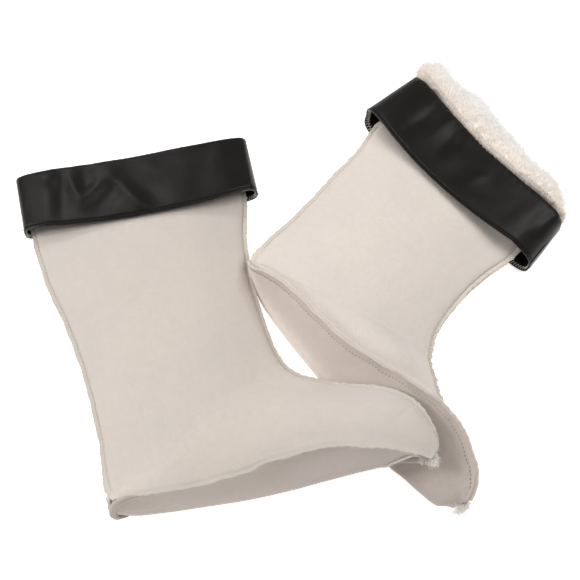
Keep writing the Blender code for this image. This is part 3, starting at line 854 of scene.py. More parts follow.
def toe_pleats(points, stations, down):
    """Presses the soft pleats under the first toe into the sole's side, beyond the fold, and returns where
    that pocket gets painted shade.
    """
    share = down / down[:, -1:]
    painted_shade = np.zeros_like(down)
    for i, station in enumerate(stations):
        grown = clamp((station - 15.6) / 1.2) * clamp((18.6 - station) / 0.8)
        toe = (18.5 - station) / 3.0
        beyond_fold = np.clip((share[i] - toe_fold_share(station)) / 0.08, 0, 1)
        for start, spread, depth in TOE_PLEATS:
            crease = np.exp(-(((share[i] - start - spread * toe * 0.5) / PLEAT_WIDTH) ** 2)) * beyond_fold
            points[i, :, 1] += grown * depth * crease
            points[i, :, 2] += grown * depth * 0.4 * crease
        pocket = grown * beyond_fold * np.sin(math.pi * share[i]) ** 0.5
        points[i, :, 1] += POCKET_DEPTH * pocket
        # Painted shade over the pocket beyond the fold
        painted_shade[i] = grown * beyond_fold
    return painted_shade


def sole_points(form):
    """Stations, sections and inner face of a sole, and the distance of its points from the upper edge."""
    stations = stations_between(form.liner.heel, form.liner.toe, STATIONS_PER_ROW)
    columns = sole_columns()
    sections = [Section(form, station) for station in stations]
    points = np.array([[section.sole(column) for column in columns] for section in sections], float)
    return stations, sections, points, running(points)


def toe_fold(form):
    """The rounded edge of the fold across the first toe's sole."""
    stations, _, points, down = sole_points(form)
    share = down / down[:, -1:]
    path = []
    for i, station in enumerate(stations):
        if TOE_FOLD_FROM <= station <= TOE_FOLD_TO:
            wanted = toe_fold_share(station)
            path.append([np.interp(wanted, share[i], points[i, :, k]) for k in range(3)])
    path = form.placed_all(np.array(path) + np.array(TOE_FOLD_OFFSET))
    thickness = 0.3 + 0.7 * np.sin(np.linspace(0.0, math.pi, len(path))) ** 0.5
    return bent_tubes("first_toe_fold", path[None], ROLL_UPWARD, TOE_FOLD_RADIUS, 8, thickness)


# A direction that the soft rolls never run along
ROLL_UPWARD = (0.1, 0.9, 0.4)

# How much darker a sole is at its toe, as painted shade, and how much paler along its turned-up lower edge,
# as painted light
PAINTED_TOE_SHADE = {"first": 0.34, "second": 0.86}
EDGE_LIGHT = {"first": 0.15, "second": 1.0}
EDGE_LIGHT_WIDTH = 12.0


def sole(form):
    """The sole with its stitched edges, painted shade towards its toe and painted light along its turned-up
    edge; the first liner's also has the pleats under its toe.
    """
    liner = form.liner
    stations, sections, points, down = sole_points(form)
    fin = np.array([section.fin for section in sections])[:, None]
    widest = down[:, len(FIN_SHARES) + SOLE_WALL_COLUMNS - 1][:, None]
    stitched = fin + SOLE_STITCH_INSET[liner.name]
    away = np.minimum(np.abs(down - stitched), np.abs(down - widest + 3.6))
    # Painted shade: the cloth darkens towards the toe, and more in the first toe's pocket
    toe = PAINTED_TOE_SHADE[liner.name] * ramp(stations, 14.5, 3.0) * np.ones_like(down)
    if liner.name == "first":
        toe = np.maximum(toe, toe_pleats(points, stations, down))
    # Painted light: paler cloth along the sole's turned-up lower edge
    turned_up = EDGE_LIGHT[liner.name] * ramp(stations, 14.6, -2.5)
    turned_up = turned_up * np.exp(-(((widest - down) / EDGE_LIGHT_WIDTH) ** 2))
    runs = np.array([section.back_run for section in sections])[:, None]
    uv = np.stack([np.broadcast_to(runs, down.shape), down], axis=-1)
    allowance = np.clip((stitched - down) / 0.8 + 0.5, 0, 1)
    extras = seam_layers(away, allowance, toe=toe, turned_up=turned_up)
    name = f"{liner.name}_sole_cloth"
    piece = placed_grid(name, form.placed_all(points), extras, uv)
    add_thickness(piece, SOLE_CLOTH, -1, "share", 0.8)
    return piece


# Soft creases in the leather where it has been pressed: a negative depth stands proud
FIRST_CREASES = table(
    Dent,
    (-0.41, 0.76, 15, 8, 3.2, -78),
    (-0.27, 0.36, 20, 9, 3.1, 42),
    (-0.63, 0.50, 26, 8, 2.9, 80),
    (-0.52, 0.56, 17, 5, -2.7, -76),
    (-0.37, 0.52, 14, 5, -2.6, 41),
    (-0.06, 0.34, 26, 6, -2.7, -56),
    (0.08, 0.46, 28, 10, 2.9, -56),
    (0.24, 0.85, 16, 9, 1.3, 0),
    (-0.73, 0.82, 10, 8, -2.9, 0),
    (-0.76, 0.40, 26, 9, -1.2, 84),
    (0.55, 0.35, 30, 13, 1.0, 70),
    (0.72, 0.70, 18, 9, -0.6, 60),
)
SECOND_CREASES = table(
    Dent,
    (-0.55, 0.58, 19, 7, 3.9, 85),
    (-0.24, 0.66, 15, 7, 3.6, 102),
    (-0.39, 0.60, 17, 5, -1.7, 94),
    (0.20, 0.52, 9, 4, -1.5, 60),
    (0.30, 0.76, 7, 6, 0.8, 0),
    (0.30, 0.12, 26, 9, -0.8, 0),
    (0.62, 0.45, 22, 9, 1.3, 75),
    (0.85, 0.62, 18, 6, 3.2, 88),
    (0.02, 0.35, 18, 10, 0.8, 70),
    (-0.80, 0.40, 20, 8, -0.9, 80),
)
CREASES = {"first": FIRST_CREASES, "second": SECOND_CREASES}
CREASE_SHARE = {"first": 0.75, "second": 0.6}


def ring_point(front, back, height, crown, floor, power, angle, sag, slip=0.0):
    """A point round a flattened tube between two plan points, level with the floor underneath.

    The upper side sags and the lower side slips towards the toe by the given lengths.
    """
    middle = (front + back) / 2
    half = (front - back) / 2
    across = math.copysign(abs(math.cos(angle)) ** (2 / power), math.cos(angle))
    rise = math.copysign(abs(math.sin(angle)) ** (2 / power), math.sin(angle))
    place = middle + half * across
    toe_wards = Vector((half.y, -half.x)).normalized()
    if rise >= 0:
        z = height + rise * (crown - height)
        place = place + toe_wards * (sag * (1 - across * across) * rise)
    else:
        z = max(floor, height + CUFF_FLAT_BOTTOM * rise * (height - floor))
        place = place - toe_wards * (slip * rise)
    return Vector((place.x, place.y, z)), across


def return_ring(front, back, half_width, angle, sag):
    """A point of the return, inside the band between two plan points."""
    middle = (front + back) / 2
    half = (front - back).normalized() * half_width
    place, _ = ring_point(
        middle + half, middle - half, MOUTH_HEIGHT, RETURN_CROWN, RETURN_FLOOR, MOUTH_POWER, angle, sag
    )
    return place


def crease_depth(creases, across, along, half_width, band_length):
    """Depth of the leather's creases at one place of the band."""
    depth = 0.0
    for dent in creases:
        depth += pressed((across - dent.across) * half_width, (along - dent.along) * band_length, dent)
    return depth


def even_angles(place, count):
    """Angles round a ring at which its points stand the same distance apart."""
    fine = []
    for quarter in range(4):
        for k in range(240):
            u = k / 240
            eased = u**3 / (u**3 + (1 - u) ** 3)
            fine.append((quarter + eased) * math.pi / 2)
    fine.append(2 * math.pi)
    places = [place(angle) for angle in fine]
    runs = np.concatenate([[0.0], np.cumsum([(b - a).length for a, b in zip(places, places[1:])])])
    wanted = np.linspace(0.0, runs[-1], count, endpoint=False)
    return np.interp(wanted, runs, fine)


class Band:
    """The leather cuff of one liner, whose outer face can be asked for at any place."""

    def __init__(self, liner):
        shape = liner.cuff
        self.liner = liner
        self.middle_height = CUFF_MIDDLE_HEIGHT[liner.name]
        self.hem = (Vector(shape.hem_front), Vector(shape.hem_back))
        self.top = (Vector(shape.top_front), Vector(shape.top_back))
        self.length = (sum(self.top, Vector((0, 0))) / 2 - sum(self.hem, Vector((0, 0))) / 2).length
        self.angles = even_angles(lambda angle: self.smooth(angle, 0.5)[0], CUFF_AROUND)

    def ends(self, along):
        share = min(along, 1.0)
        return self.hem[0].lerp(self.top[0], share), self.hem[1].lerp(self.top[1], share)

    def sag(self, along):
        shape = self.liner.cuff
        return shape.hem_sag + (shape.top_sag - shape.hem_sag) * along

    def smooth(self, angle, along):
        """The outer face without its creases, and how far across the band that is, from -1 to 1."""
        shape = self.liner.cuff
        front, back = self.ends(along)
        crown = shape.crown_hem + (shape.crown_top - shape.crown_hem) * along
        slip = CUFF_SLIP[self.liner.name] * max(1 - along, 0.0)
        size = (self.middle_height, crown, 0.0, CUFF_END_POWER)
        return ring_point(front, back, *size, angle, self.sag(along), slip)

    def outer(self, angle, along):
        """The outer face as it lies, with its creases, its sewn hem and its puckers."""
        place, across = self.smooth(angle, along)
        above = clamp((place.z - self.middle_height) / 8.0)
        if not above:
            return place
        ridge = RIDGES[self.liner.name]
        start = ridge.at_hem + (ridge.at_top - ridge.at_hem) * clamp(along)
        if across > start:
            place.z -= (across - start) / (1.0 - start) * ridge.fall * clamp((1 - along) * 1.4 + 0.15)
        front, back = self.ends(along)
        half_width = (front - back).length / 2
        from_hem = along * self.length
        depth = crease_depth(CREASES[self.liner.name], across, along, half_width, self.length)
        depth *= CREASE_SHARE[self.liner.name] * (0.35 + 0.65 * clamp(from_hem / CREASES_FULL_FROM))
        depth += BAND_UNEVENNESS * uneven(place.x / 34.0, place.y / 26.0, self.liner.turn)
        depth += HEM_GROOVE * hump(from_hem - HEM_STITCH_FROM_EDGE, 0.75)
        depth -= HEM_BEAD * hump(from_hem - 1.6, 0.8)
        wave = math.sin(across * half_width * 2 * math.pi / HEM_WAVE_LENGTH + 3 * math.sin(across * 5))
        depth += HEM_WAVE * wave * math.exp(-from_hem / 5.0)
        from_fold = max(self.length * (1 - along), 0.0)
        turns = across * half_width * 2 * math.pi / MOUTH_PUCKER_LENGTH
        pucker = math.sin(turns + 2.5 * math.sin(across * 7))
        depth += MOUTH_PUCKER[self.liner.name] * pucker * math.exp(-from_fold / 3.0)
        place.z -= depth * above
        drawn = MOUTH_PUCKER[self.liner.name] * max(pucker, -0.3) * math.exp(-from_fold / 4.0) * above
        toe_wards = Vector(((front - back).y, (back - front).x)).normalized()
        place.x += toe_wards.x * drawn
        place.y += toe_wards.y * drawn
        return place

    def at(self, angle, axial, inner):
        """A point of the whole piece: the band, the fold over the mouth and the return inside."""
        along = 1 + axial / self.length
        outer = self.outer(angle, along)
        if inner == 0.0:
            return outer
        inside = return_ring(*self.ends(along), self.liner.cuff.return_half, angle, self.sag(along))
        return outer.lerp(inside, inner)


# How far the mouth's stitches gather the leather, and the length of each gather
MOUTH_PUCKER = {"first": 0.2, "second": 0.9}
MOUTH_PUCKER_LENGTH = 7.5

# The groove, bead and waves along the hem, how far from it the creases are full, and broad unevenness
HEM_GROOVE = 1.1
HEM_BEAD = 0.7
HEM_WAVE = 0.1
HEM_WAVE_LENGTH = 9.0
CREASES_FULL_FROM = 9.0
BAND_UNEVENNESS = 0.9

# A fold at the cuff's front end: where its ridge runs, and how far the side beyond it falls
Ridge = namedtuple("Ridge", "at_hem at_top fall")
RIDGES = {"first": Ridge(0.95, 0.97, 3.0), "second": Ridge(0.78, 0.94, 9.0)}

# Sampling near the hem, the radius of the fold over the mouth, and places down the return
HEM_PLACES = (0.6, 1.2, 1.8, 2.4, 3.0, 3.6, 4.2, 5.0)
FOLD_ROUND = 3.5
FOLD_STEPS = 8
RETURN_PLACES = (-7.0, -13.0)


def cuff_profile(band_length):
    """Places from the hem up the band, round the fold and down the return, as axial and inner shares."""
    steps = max(round(band_length / CUFF_ALONG_STEP), 8)
    band = [-band_length + (band_length - FOLD_ROUND) * k / steps for k in range(steps + 1)]
    near_hem = [-band_length + away for away in HEM_PLACES]
    kept = [axial for axial in band if axial <= -band_length or axial > -band_length + 5.8]
    profile = [(axial, 0.0) for axial in sorted(kept + near_hem)]
    for k in range(1, FOLD_STEPS + 1):
        turn = math.pi * k / FOLD_STEPS
        profile.append((-FOLD_ROUND + FOLD_ROUND * math.sin(turn), (1 - math.cos(turn)) / 2))
    return profile + [(axial, 1.0) for axial in RETURN_PLACES]


def cuff(band):
    """The leather cuff in one piece from its hem round the fold to its return."""
    liner = band.liner
    profile = cuff_profile(band.length)
    points = np.array([[band.at(angle, *place) for place in profile] for angle in band.angles], float)
    around = running(np.concatenate([points[:, 4], points[:1, 4]]))
    uv = np.stack(np.meshgrid(around, running(points[0]), indexing="ij"), axis=-1)
    from_hem = np.array([axial + band.length for axial, _ in profile])
    extras = {"hem": np.broadcast_to(np.exp(-np.abs(from_hem) / 1.6), points.shape[:2])}
    points = Form(liner).placed_all(points)
    piece = placed_grid(f"{liner.name}_leather_cuff", points, extras, uv, wrap_columns=True)
    add_thickness(piece, CUFF_LEATHER, 1, edge_round=0.45)
    return piece


def unit_tube(sides, rings):
    """A straight tube of radius 1 along z from 0 to 1, cut into rings: its points and its faces."""
    tube = bmesh.new()
    bmesh.ops.create_cone(tube, cap_ends=True, segments=sides, radius1=1.0, radius2=1.0, depth=1.0)
    bmesh.ops.translate(tube, vec=(0.0, 0.0, 0.5), verts=tube.verts)
    lengthwise = [e for e in tube.edges if abs(e.verts[0].co.z - e.verts[1].co.z) > 0.5]
    if rings > 1:
        bmesh.ops.subdivide_edges(tube, edges=lengthwise, cuts=rings - 1)
    bmesh.ops.recalc_face_normals(tube, faces=tube.faces)
    tube.verts.index_update()
    points = np.array([vert.co for vert in tube.verts], float)
    faces = [[vert.index for vert in face.verts] for face in tube.faces]
    tube.free()
    return points, faces


def bent_tubes(name, paths, upward, radius, sides=5, taper=None, extras=None):
    """One mesh of many copies of a tube, each bent along its own path.

    Paths hold the same number of places each, in millimetres; upward is a direction that no path
    runs along, for each path; taper is the share of the radius at each place of a path.
    """
    paths = np.asarray(paths, float)
    count, places = paths.shape[:2]
    points, faces = unit_tube(sides, places - 1)
    ring = np.rint(points[:, 2] * (places - 1)).astype(int)
    along = unit(np.gradient(paths, axis=1))
    upward = np.broadcast_to(np.asarray(upward, float).reshape(-1, 1, 3), paths.shape)
    side = unit(np.cross(along, upward))
    other = np.cross(along, side)
    width = np.broadcast_to(np.asarray(radius, float).reshape(-1, 1), (count, places))
    width = width * (np.ones(places) if taper is None else np.asarray(taper, float))
    middle = paths[:, ring]
    spread = side[:, ring] * points[None, :, 0, None] + other[:, ring] * points[None, :, 1, None]
    verts = (middle + spread * width[:, ring, None]) * MM
    per_tube = len(points)
    mesh = bpy.data.meshes.new(name)
    mesh.vertices.add(count * per_tube)
    mesh.vertices.foreach_set("co", verts.reshape(-1))
    corners = np.concatenate([np.array(face) for face in faces])
    sizes = np.array([len(face) for face in faces])
    all_corners = (corners[None, :] + np.arange(count)[:, None] * per_tube).reshape(-1)
    starts = np.concatenate([[0], np.cumsum(np.tile(sizes, count))[:-1]])
    mesh.loops.add(len(all_corners))
    mesh.loops.foreach_set("vertex_index", all_corners.astype(np.int32))
    mesh.polygons.add(count * len(faces))
    mesh.polygons.foreach_set("loop_start", starts.astype(np.int32))
    mesh.update(calc_edges=True)
    for key, values in (extras or {}).items():
        layer = mesh.attributes.new(key, "FLOAT", "POINT")
        spread_values = np.broadcast_to(values, (count, places))[:, ring]
        layer.data.foreach_set("value", spread_values.reshape(-1).astype(np.float32))
    mesh.validate()
    mesh.shade_smooth()
    return new_object(name, mesh)


def outer_face(points, thickness, side):
    """Where a piece's outer face lies over its grid of inner points, and the way out of it."""
    normal = unit(np.cross(np.gradient(points, axis=0), np.gradient(points, axis=1))) * side
    return points + normal * np.asarray(thickness)[..., None], normal


def along_edge(runs, rows, wanted):
    """Places on a line of a grid at wanted distances along it."""
    order = np.argsort(runs)
    return np.stack([np.interp(wanted, runs[order], rows[order][:, k]) for k in range(3)], axis=-1)


def stitch_row(name, runs, line, normals, start, end, radius=THREAD_RADIUS, length=STITCH_LENGTH):
    """Single stitches along a seam: each comes up, lies on the cloth and goes down again."""
    paths, ups = [], []
    for run in np.arange(start, end - STITCH_PITCH, STITCH_PITCH):
        steps = run + length * STITCH_STEPS
        places = along_edge(runs, line, steps)
        up = along_edge(runs, normals, steps)
        lift = np.array([-0.55, 0.12, 0.26, 0.12, -0.55])[:, None]
        paths.append(places + up * lift)
        ups.append(up[2])
    return bent_tubes(name, paths, ups, radius)


def overlock_row(name, runs, rows):
    """Loops of thread over a raw edge; rows are lines of places from the cloth round the edge."""
    shifts = [OVERLOCK_SLANT * (k / (len(rows) - 1) - 0.5) for k in range(len(rows))]
    paths = []
    for run in np.arange(runs.min() + OVERLOCK_PITCH, runs.max() - OVERLOCK_PITCH, OVERLOCK_PITCH):
        paths.append([along_edge(runs, row, np.array([run + s]))[0] for row, s in zip(rows, shifts)])
    paths = np.array(paths)
    ahead = paths[:, -1] - paths[:, 0]
    ups = np.cross(ahead, np.roll(paths[:, 0], -1, axis=0) - paths[:, 0])
    ups[-1] = ups[-2]
    return bent_tubes(name, paths, ups, OVERLOCK_THREAD)


def spline_ring(controls, count):
    """A smooth closed curve near a ring of control rows, with the given number of places."""
    rows = len(controls)
    u = np.linspace(0, rows, count, endpoint=False)
    k = np.floor(u).astype(int)
    t = (u - k).reshape(-1, *([1] * (controls.ndim - 1)))
    a, b, c, d = (controls[(k + shift) % rows] for shift in (-1, 0, 1, 2))
    return (
        (1 - t) ** 3 * a + (3 * t**3 - 6 * t**2 + 4) * b + (-3 * t**3 + 3 * t**2 + 3 * t + 1) * c + t**3 * d
    ) / 6


# How full the pile is at the mouth's two ends: 2 is an ellipse, and more is squarer
FUR_POWER = {"first": 2.0, "second": 3.3}

# Height of the pile's broad lumps and of its curls, and how much its strands lean, gather in clumps,
# stray one by one and curl
PILE_LUMPS = 0.9
PILE_CURLS = 0.3
STRAND_LEAN = 0.5
STRAND_CLUMPING = 0.9
STRAND_STRAY = 0.18
STRAND_CURL = 0.16
STRAND_TAPER = (1.0, 0.95, 0.7, 0.25)
TUFT_CURL = 0.22
TUFT_RADIUS = 0.16
TUFT_TAPER = (1.0, 0.9, 0.7, 0.3)


def fur_form(liner):
    """The mouth lining's pile as a closed ring: places, ways out of it and distances past the fold."""
    shape = liner.cuff
    top_front, top_back = Vector(shape.top_front), Vector(shape.top_back)
    middle = (top_front + top_back) / 2
    across = (top_front - top_back).normalized()
    up_shaft = Vector((-across.y, across.x))
    reach = column_curve(liner.fur_reach, "length")
    angles = np.linspace(0, 2 * math.pi, FUR_AROUND, endpoint=False)
    rings = liner.fur_profile[::-1]
    controls = np.zeros((len(rings), FUR_AROUND, 4))
    for j, ring in enumerate(rings):
        for i, angle in enumerate(angles):
            beyond = ring.beyond
            if beyond >= 0:
                beyond = FUR_CLEAR_OF_FOLD + beyond * reach(math.cos(angle))
            controls[j, i] = (beyond, ring.crown, ring.floor, ring.half_width)
    smooth = spline_ring(controls, FUR_RINGS)
    power = FUR_POWER[liner.name]
    points = np.zeros((FUR_AROUND, FUR_RINGS, 3))
    for j in range(FUR_RINGS):
        for i, angle in enumerate(angles):
            beyond, crown, floor, half_width = smooth[j, i]
            past = clamp(beyond / 4.0)
            centre = middle + up_shaft * beyond + across * (FUR_SHIFT[liner.name] * past)
            half = across * half_width
            size = (MOUTH_HEIGHT, crown, floor, power)
            points[i, j] = ring_point(centre + half, centre - half, *size, angle, shape.top_sag)[0]
    along = np.roll(points, -1, axis=0) - np.roll(points, 1, axis=0)
    over = np.roll(points, -1, axis=1) - np.roll(points, 1, axis=1)
    normals = unit(np.cross(along, over))
    top = np.unravel_index(np.argmax(points[:, :, 2]), points.shape[:2])
    if normals[top][2] < 0:
        normals = -normals
    return points, normals, smooth[:, :, 0].T, up_shaft


def fur_backing(liner, sink):
    """The soft body of the pile under its strands, a little inside the pile's own outline."""
    points, normals, beyond, _ = fur_form(liner)
    sunk = np.empty_like(points)
    for i in range(points.shape[0]):
        for j in range(points.shape[1]):
            place, normal = points[i, j], normals[i, j]
            lump = PILE_LUMPS * noise.noise(Vector(place) / 10.0)
            lump += PILE_CURLS * noise.noise(Vector(place) / 3.6)
            sunk[i, j] = place - normal * (sink - lump)
    sunk[:, :, 2] = np.maximum(sunk[:, :, 2], 0.3)
    sunk = Form(liner).placed_all(sunk)
    extras = {"beyond": beyond, "tip": np.full_like(beyond, 0.6), "shade": np.full_like(beyond, 0.5)}
    return placed_grid(f"{liner.name}_fur_pile", sunk, extras, wrap_columns=True, wrap_rows=True)


# Fibres: the shares of their length at which they bend, and the lowest place of any
FIBRE_STEPS = (0.0, 0.34, 0.68, 1.0)
FIBRE_FLOOR = 0.4


def fibres(name, liner, roots, way, length, side_bends, upward, radius, taper, extras):
    """Curly fibres from their roots: side_bends holds how far each is bent aside at each step."""
    steps = zip(FIBRE_STEPS, side_bends)
    path = np.stack([roots + way * length * share + bend for share, bend in steps], axis=1)
    path[:, :, 2] = np.maximum(path[:, :, 2], FIBRE_FLOOR)
    return bent_tubes(name, Form(liner).placed_all(path), upward, radius, 3, taper, extras)


def fur_strands(name, liner, seed, count, sink, shortest, longest, past_fold):
    """Curly strands that stand on the pile where it shows past the cuff's fold."""
    points, normals, beyond, up_shaft = fur_form(liner)
    chance = np.random.default_rng(seed)
    across = np.roll(points, -1, axis=0) - points
    over = np.roll(points, -1, axis=1) - points
    area = np.linalg.norm(np.cross(across, over), axis=2)
    shown = (beyond > past_fold) & (points[:, :, 2] > 1.5)
    weight = np.where(shown, area, 0.0) * np.where(points[:, :, 2] > 14, 1.6, 1.0)
    weight = (weight / weight.sum()).reshape(-1)
    picked = chance.choice(len(weight), size=count, p=weight)
    i, j = np.unravel_index(picked, area.shape)
    s, t = chance.random((2, count, 1))
    normal = normals[i, j]
    roots = points[i, j] + across[i, j] * s + over[i, j] * t - normal * sink
    shifts = [Vector((k * 9.0, 0, 0)) for k in range(3)]
    clump = np.array([[noise.noise(Vector(root) / 7.0 + shift) for shift in shifts] for root in roots])
    lean = np.array([up_shaft.x, up_shaft.y, 0.0])
    stray = chance.normal(0, STRAND_STRAY, (count, 3))
    way = unit(normal + lean * STRAND_LEAN + clump * STRAND_CLUMPING + stray)
    length = shortest + (longest - shortest) * chance.random((count, 1)) ** 1.4
    aside = unit(np.cross(way, chance.normal(0, 1, (count, 3))))
    curl = STRAND_CURL * length * (0.4 + chance.random((count, 1)))
    bends = [aside * curl * bend for bend in (0.0, 1.0, 0.5, -1.1)]
    radius = 0.10 + 0.07 * chance.random(count)
    upward = aside + chance.normal(0, 0.1, (count, 3))
    shade = chance.random((count, 1))
    extras = {"tip": (0.0, 0.35, 0.7, 1.0), "shade": shade, "beyond": beyond[i, j][:, None]}
    return fibres(name, liner, roots, way, length, bends, upward, radius, STRAND_TAPER, extras)


# The back seam's end comes down over the first heel: places and shares of its thickness
HEEL_SEAM_END = (
    (2.4, 9.0, 29.0, 0.5),
    (2.6, 5.5, 30.5, 0.9),
    (2.8, 2.0, 31.0, 1.0),
    (2.9, -0.8, 30.5, 1.0),
    (2.4, -3.0, 28.5, 0.9),
    (1.6, -4.6, 25.5, 0.7),
    (1.4, -5.6, 21.5, 0.3),
)
HEEL_SEAM_RADIUS = 1.9
# The sole's edge turns round under the first heel as a soft roll: places and shares of its thickness
HEEL_ROLL = (
    (33.0, -4.3, 42.5, 0.05),
    (27.5, -4.6, 44, 0.25), (21, -5.0, 45, 0.6), (15.3, -5.6, 44, 0.85), (10.4, -5.9, 40, 1.0),
    (6.3, -6.0, 33, 1.0), (4.0, -6.4, 24, 1.0), (3.8, -7.0, 15, 1.0), (6.2, -7.0, 8.5, 0.95),
    (10.5, -6.7, 6.5, 0.75), (16, -6.4, 5.5, 0.4),
)
HEEL_ROLL_RADIUS = 3.1


def edge_roll(name, table, radius):
    """A soft roll along the first liner's heel, through the places of a table."""
    knots = np.array(table, float)
    knots = np.concatenate([[2 * knots[0] - knots[1]], knots, [2 * knots[-1] - knots[-2]]])
    rows = []
    for k in range(1, len(knots) - 2):
        a, b, c, d = knots[k - 1 : k + 3]
        square, cube = 2 * a - 5 * b + 4 * c - d, 3 * b - a - 3 * c + d
        for t in np.linspace(0, 1, 6, endpoint=False):
            rows.append(0.5 * (2 * b + (c - a) * t + square * t**2 + cube * t**3))
    rows = np.array(rows + [knots[-2]])
    path = Form(FIRST).placed_all(rows[:, :3])
    return bent_tubes(name, path[None], ROLL_UPWARD, radius, 10, rows[:, 3])


Tuft = namedtuple("Tuft", "name liner a b z spread count length way")
TUFTS = (
    Tuft("first_toe_tuft", FIRST, 270.5, -12.5, 53.5, (3.0, 5.0, 3.0), 620, 6.5, (0.45, -0.8, 0.1)),
    Tuft("first_toe_lint", FIRST, 266.5, -13.0, 52.5, (3.0, 2.0, 2.5), 220, 3.5, (0.2, -0.9, 0.3)),
    Tuft("second_toe_tuft", SECOND, 284.0, -7.5, 17.0, (3.0, 7.5, 5.0), 650, 6.0, (1.0, -0.1, 0.2)),
)


def tuft(row, seed):
    """Loose fibres that come out of a seam's end."""
    chance = np.random.default_rng(seed)
    middle = np.array([row.a, row.b, row.z])
    roots = middle + chance.normal(0, 0.5, (row.count, 3)) * np.array(row.spread)
    way = unit(np.array(row.way) + chance.normal(0, 0.5, (row.count, 3)))
    length = row.length * (0.35 + 0.65 * chance.random((row.count, 1)))
    aside = unit(np.cross(way, chance.normal(0, 1, (row.count, 3))))
    bends = [aside * (TUFT_CURL * length) * bend for bend in (0.0, 0.9, 0.4, -1.0)]
    extras = {"tip": (0.4, 0.6, 0.8, 1.0), "shade": chance.random((row.count, 1)), "beyond": 30.0}
    return fibres(row.name, row.liner, roots, way, length, bends, aside, TUFT_RADIUS, TUFT_TAPER, extras)


def new_group(name, inputs, outputs):
    """An empty shader group with its two end nodes; an input without a number takes a vector."""
    group = bpy.data.node_groups.new(name, "ShaderNodeTree")
    for label, value in inputs.items():
        kind = "NodeSocketVector" if value is None else "NodeSocketFloat"
        socket = group.interface.new_socket(name=label, in_out="INPUT", socket_type=kind)
        if value is not None:
            socket.default_value = value
    for label in outputs:
        group.interface.new_socket(name=label, in_out="OUTPUT", socket_type="NodeSocketFloat")
    return group, group.nodes.new("NodeGroupInput"), group.nodes.new("NodeGroupOutput")


def put_out(group, end, **values):
    """Links a group's results to its outputs."""
    for label, value in values.items():
        group.links.new(value, end.inputs[label])


def maths(tree, operation, first, second=0.0, third=None):
    """A Math node whose inputs are sockets or numbers; returns its output."""
    node = tree.nodes.new("ShaderNodeMath")
    node.operation = operation
    for index, value in enumerate((first, second, third)):
        if value is None:
            continue
        if isinstance(value, (int, float)):
            node.inputs[index].default_value = value
        else:
            tree.links.new(value, node.inputs[index])
    return node.outputs[0]


def set_values(node, **values):
    """Sets a node's own sockets, whose names are given with low lines for spaces."""
    for label, value in values.items():
        node.inputs[label.replace("_", " ")].default_value = value


def noise_node(tree, vector, scale, detail=2.0, roughness=0.5):
    node = tree.nodes.new("ShaderNodeTexNoise")
    set_values(node, Scale=scale, Detail=detail, Roughness=roughness)
    tree.links.new(vector, node.inputs["Vector"])
    return node.outputs["Fac"]


def colour_mix(tree, share, first, second):
    """Mixes two colours, each a socket or four numbers, by a share."""
    node = tree.nodes.new("ShaderNodeMix")
    node.data_type = "RGBA"
    for socket, value in ((node.inputs[6], first), (node.inputs[7], second)):
        if hasattr(value, "is_linked"):
            tree.links.new(value, socket)
        else:
            socket.default_value = value
    tree.links.new(share, node.inputs[0])
    return node.outputs[2]


def knit_group():
    """Fine rows of knit loops over a cloth's own map, with brushed fluff over them."""
    group, start, end = new_group(
        "Knit", {"Map": None, "Place": None, "Pitch": 0.0017, "Fluff": 0.6}, ("Height", "Loops", "Pilling")
    )
    split = group.nodes.new("ShaderNodeSeparateXYZ")
    group.links.new(start.outputs["Map"], split.inputs[0])
    turns = maths(group, "DIVIDE", 2 * math.pi, start.outputs["Pitch"])
    across = maths(group, "SINE", maths(group, "MULTIPLY", split.outputs[0], turns))
    along = maths(group, "SINE", maths(group, "MULTIPLY", split.outputs[1], turns))
    loops = maths(group, "MULTIPLY_ADD", maths(group, "MULTIPLY", across, along), 0.5, 0.5)
    fluff = noise_node(group, start.outputs["Place"], 900.0, 3.0, 0.6)
    pilling = noise_node(group, start.outputs["Place"], 260.0, 3.0, 0.65)
    soft = maths(group, "MULTIPLY", fluff, start.outputs["Fluff"])
    rough = maths(group, "MULTIPLY_ADD", loops, 0.35, soft)
    height = maths(group, "MULTIPLY_ADD", pilling, 0.8, rough)
    put_out(group, end, Height=height, Loops=loops, Pilling=pilling)
    return group


def mottle_group():
    """Broad and fine unevenness in a dyed colour, from 0 to 1."""
    group, start, end = new_group("Mottle", {"Place": None}, ("Broad", "Fine"))
    broad = noise_node(group, start.outputs["Place"], 11.0)
    fine = noise_node(group, start.outputs["Place"], 170.0, 4.0, 0.7)
    put_out(group, end, Broad=broad, Fine=fine)
    return group


def grain_group():
    """Leather grain: pebbles divided by fine creases, and broad patches of wear."""
    group, start, end = new_group("Leather grain", {"Place": None, "Pebbles": 900.0}, ("Height", "Worn"))
    pebbles = group.nodes.new("ShaderNodeTexVoronoi")
    pebbles.feature = "DISTANCE_TO_EDGE"
    group.links.new(start.outputs["Place"], pebbles.inputs["Vector"])
    group.links.new(start.outputs["Pebbles"], pebbles.inputs["Scale"])
    edges = maths(group, "MINIMUM", maths(group, "MULTIPLY", pebbles.outputs["Distance"], 4.0), 1.0)
    wrinkles = noise_node(group, start.outputs["Place"], 420.0, 3.0, 0.5)
    height = maths(group, "MULTIPLY_ADD", wrinkles, 0.7, edges)
    put_out(group, end, Height=height, Worn=noise_node(group, start.outputs["Place"], 38.0, 3.0, 0.6))
    return group


def shader_of(name, **values):
    """A new material, its tree, its shader with these plain values, and the place on the object."""
    material = bpy.data.materials.new(name)
    material.use_nodes = True
    tree = material.node_tree
    shader = tree.nodes["Principled BSDF"]
    set_values(shader, Metallic=0.0, **values)
    place = tree.nodes.new("ShaderNodeTexCoord")
    return material, tree, shader, place.outputs["Object"]


def use_group(tree, group, **links):
    node = tree.nodes.new("ShaderNodeGroup")
    node.node_tree = group
    for label, value in links.items():
        socket = node.inputs[label]
        if isinstance(value, (int, float)):
            socket.default_value = value
        else:
            tree.links.new(value, socket)
    return node


def attribute_value(tree, name):
    node = tree.nodes.new("ShaderNodeAttribute")
    node.attribute_name = name
    return node.outputs["Fac"]


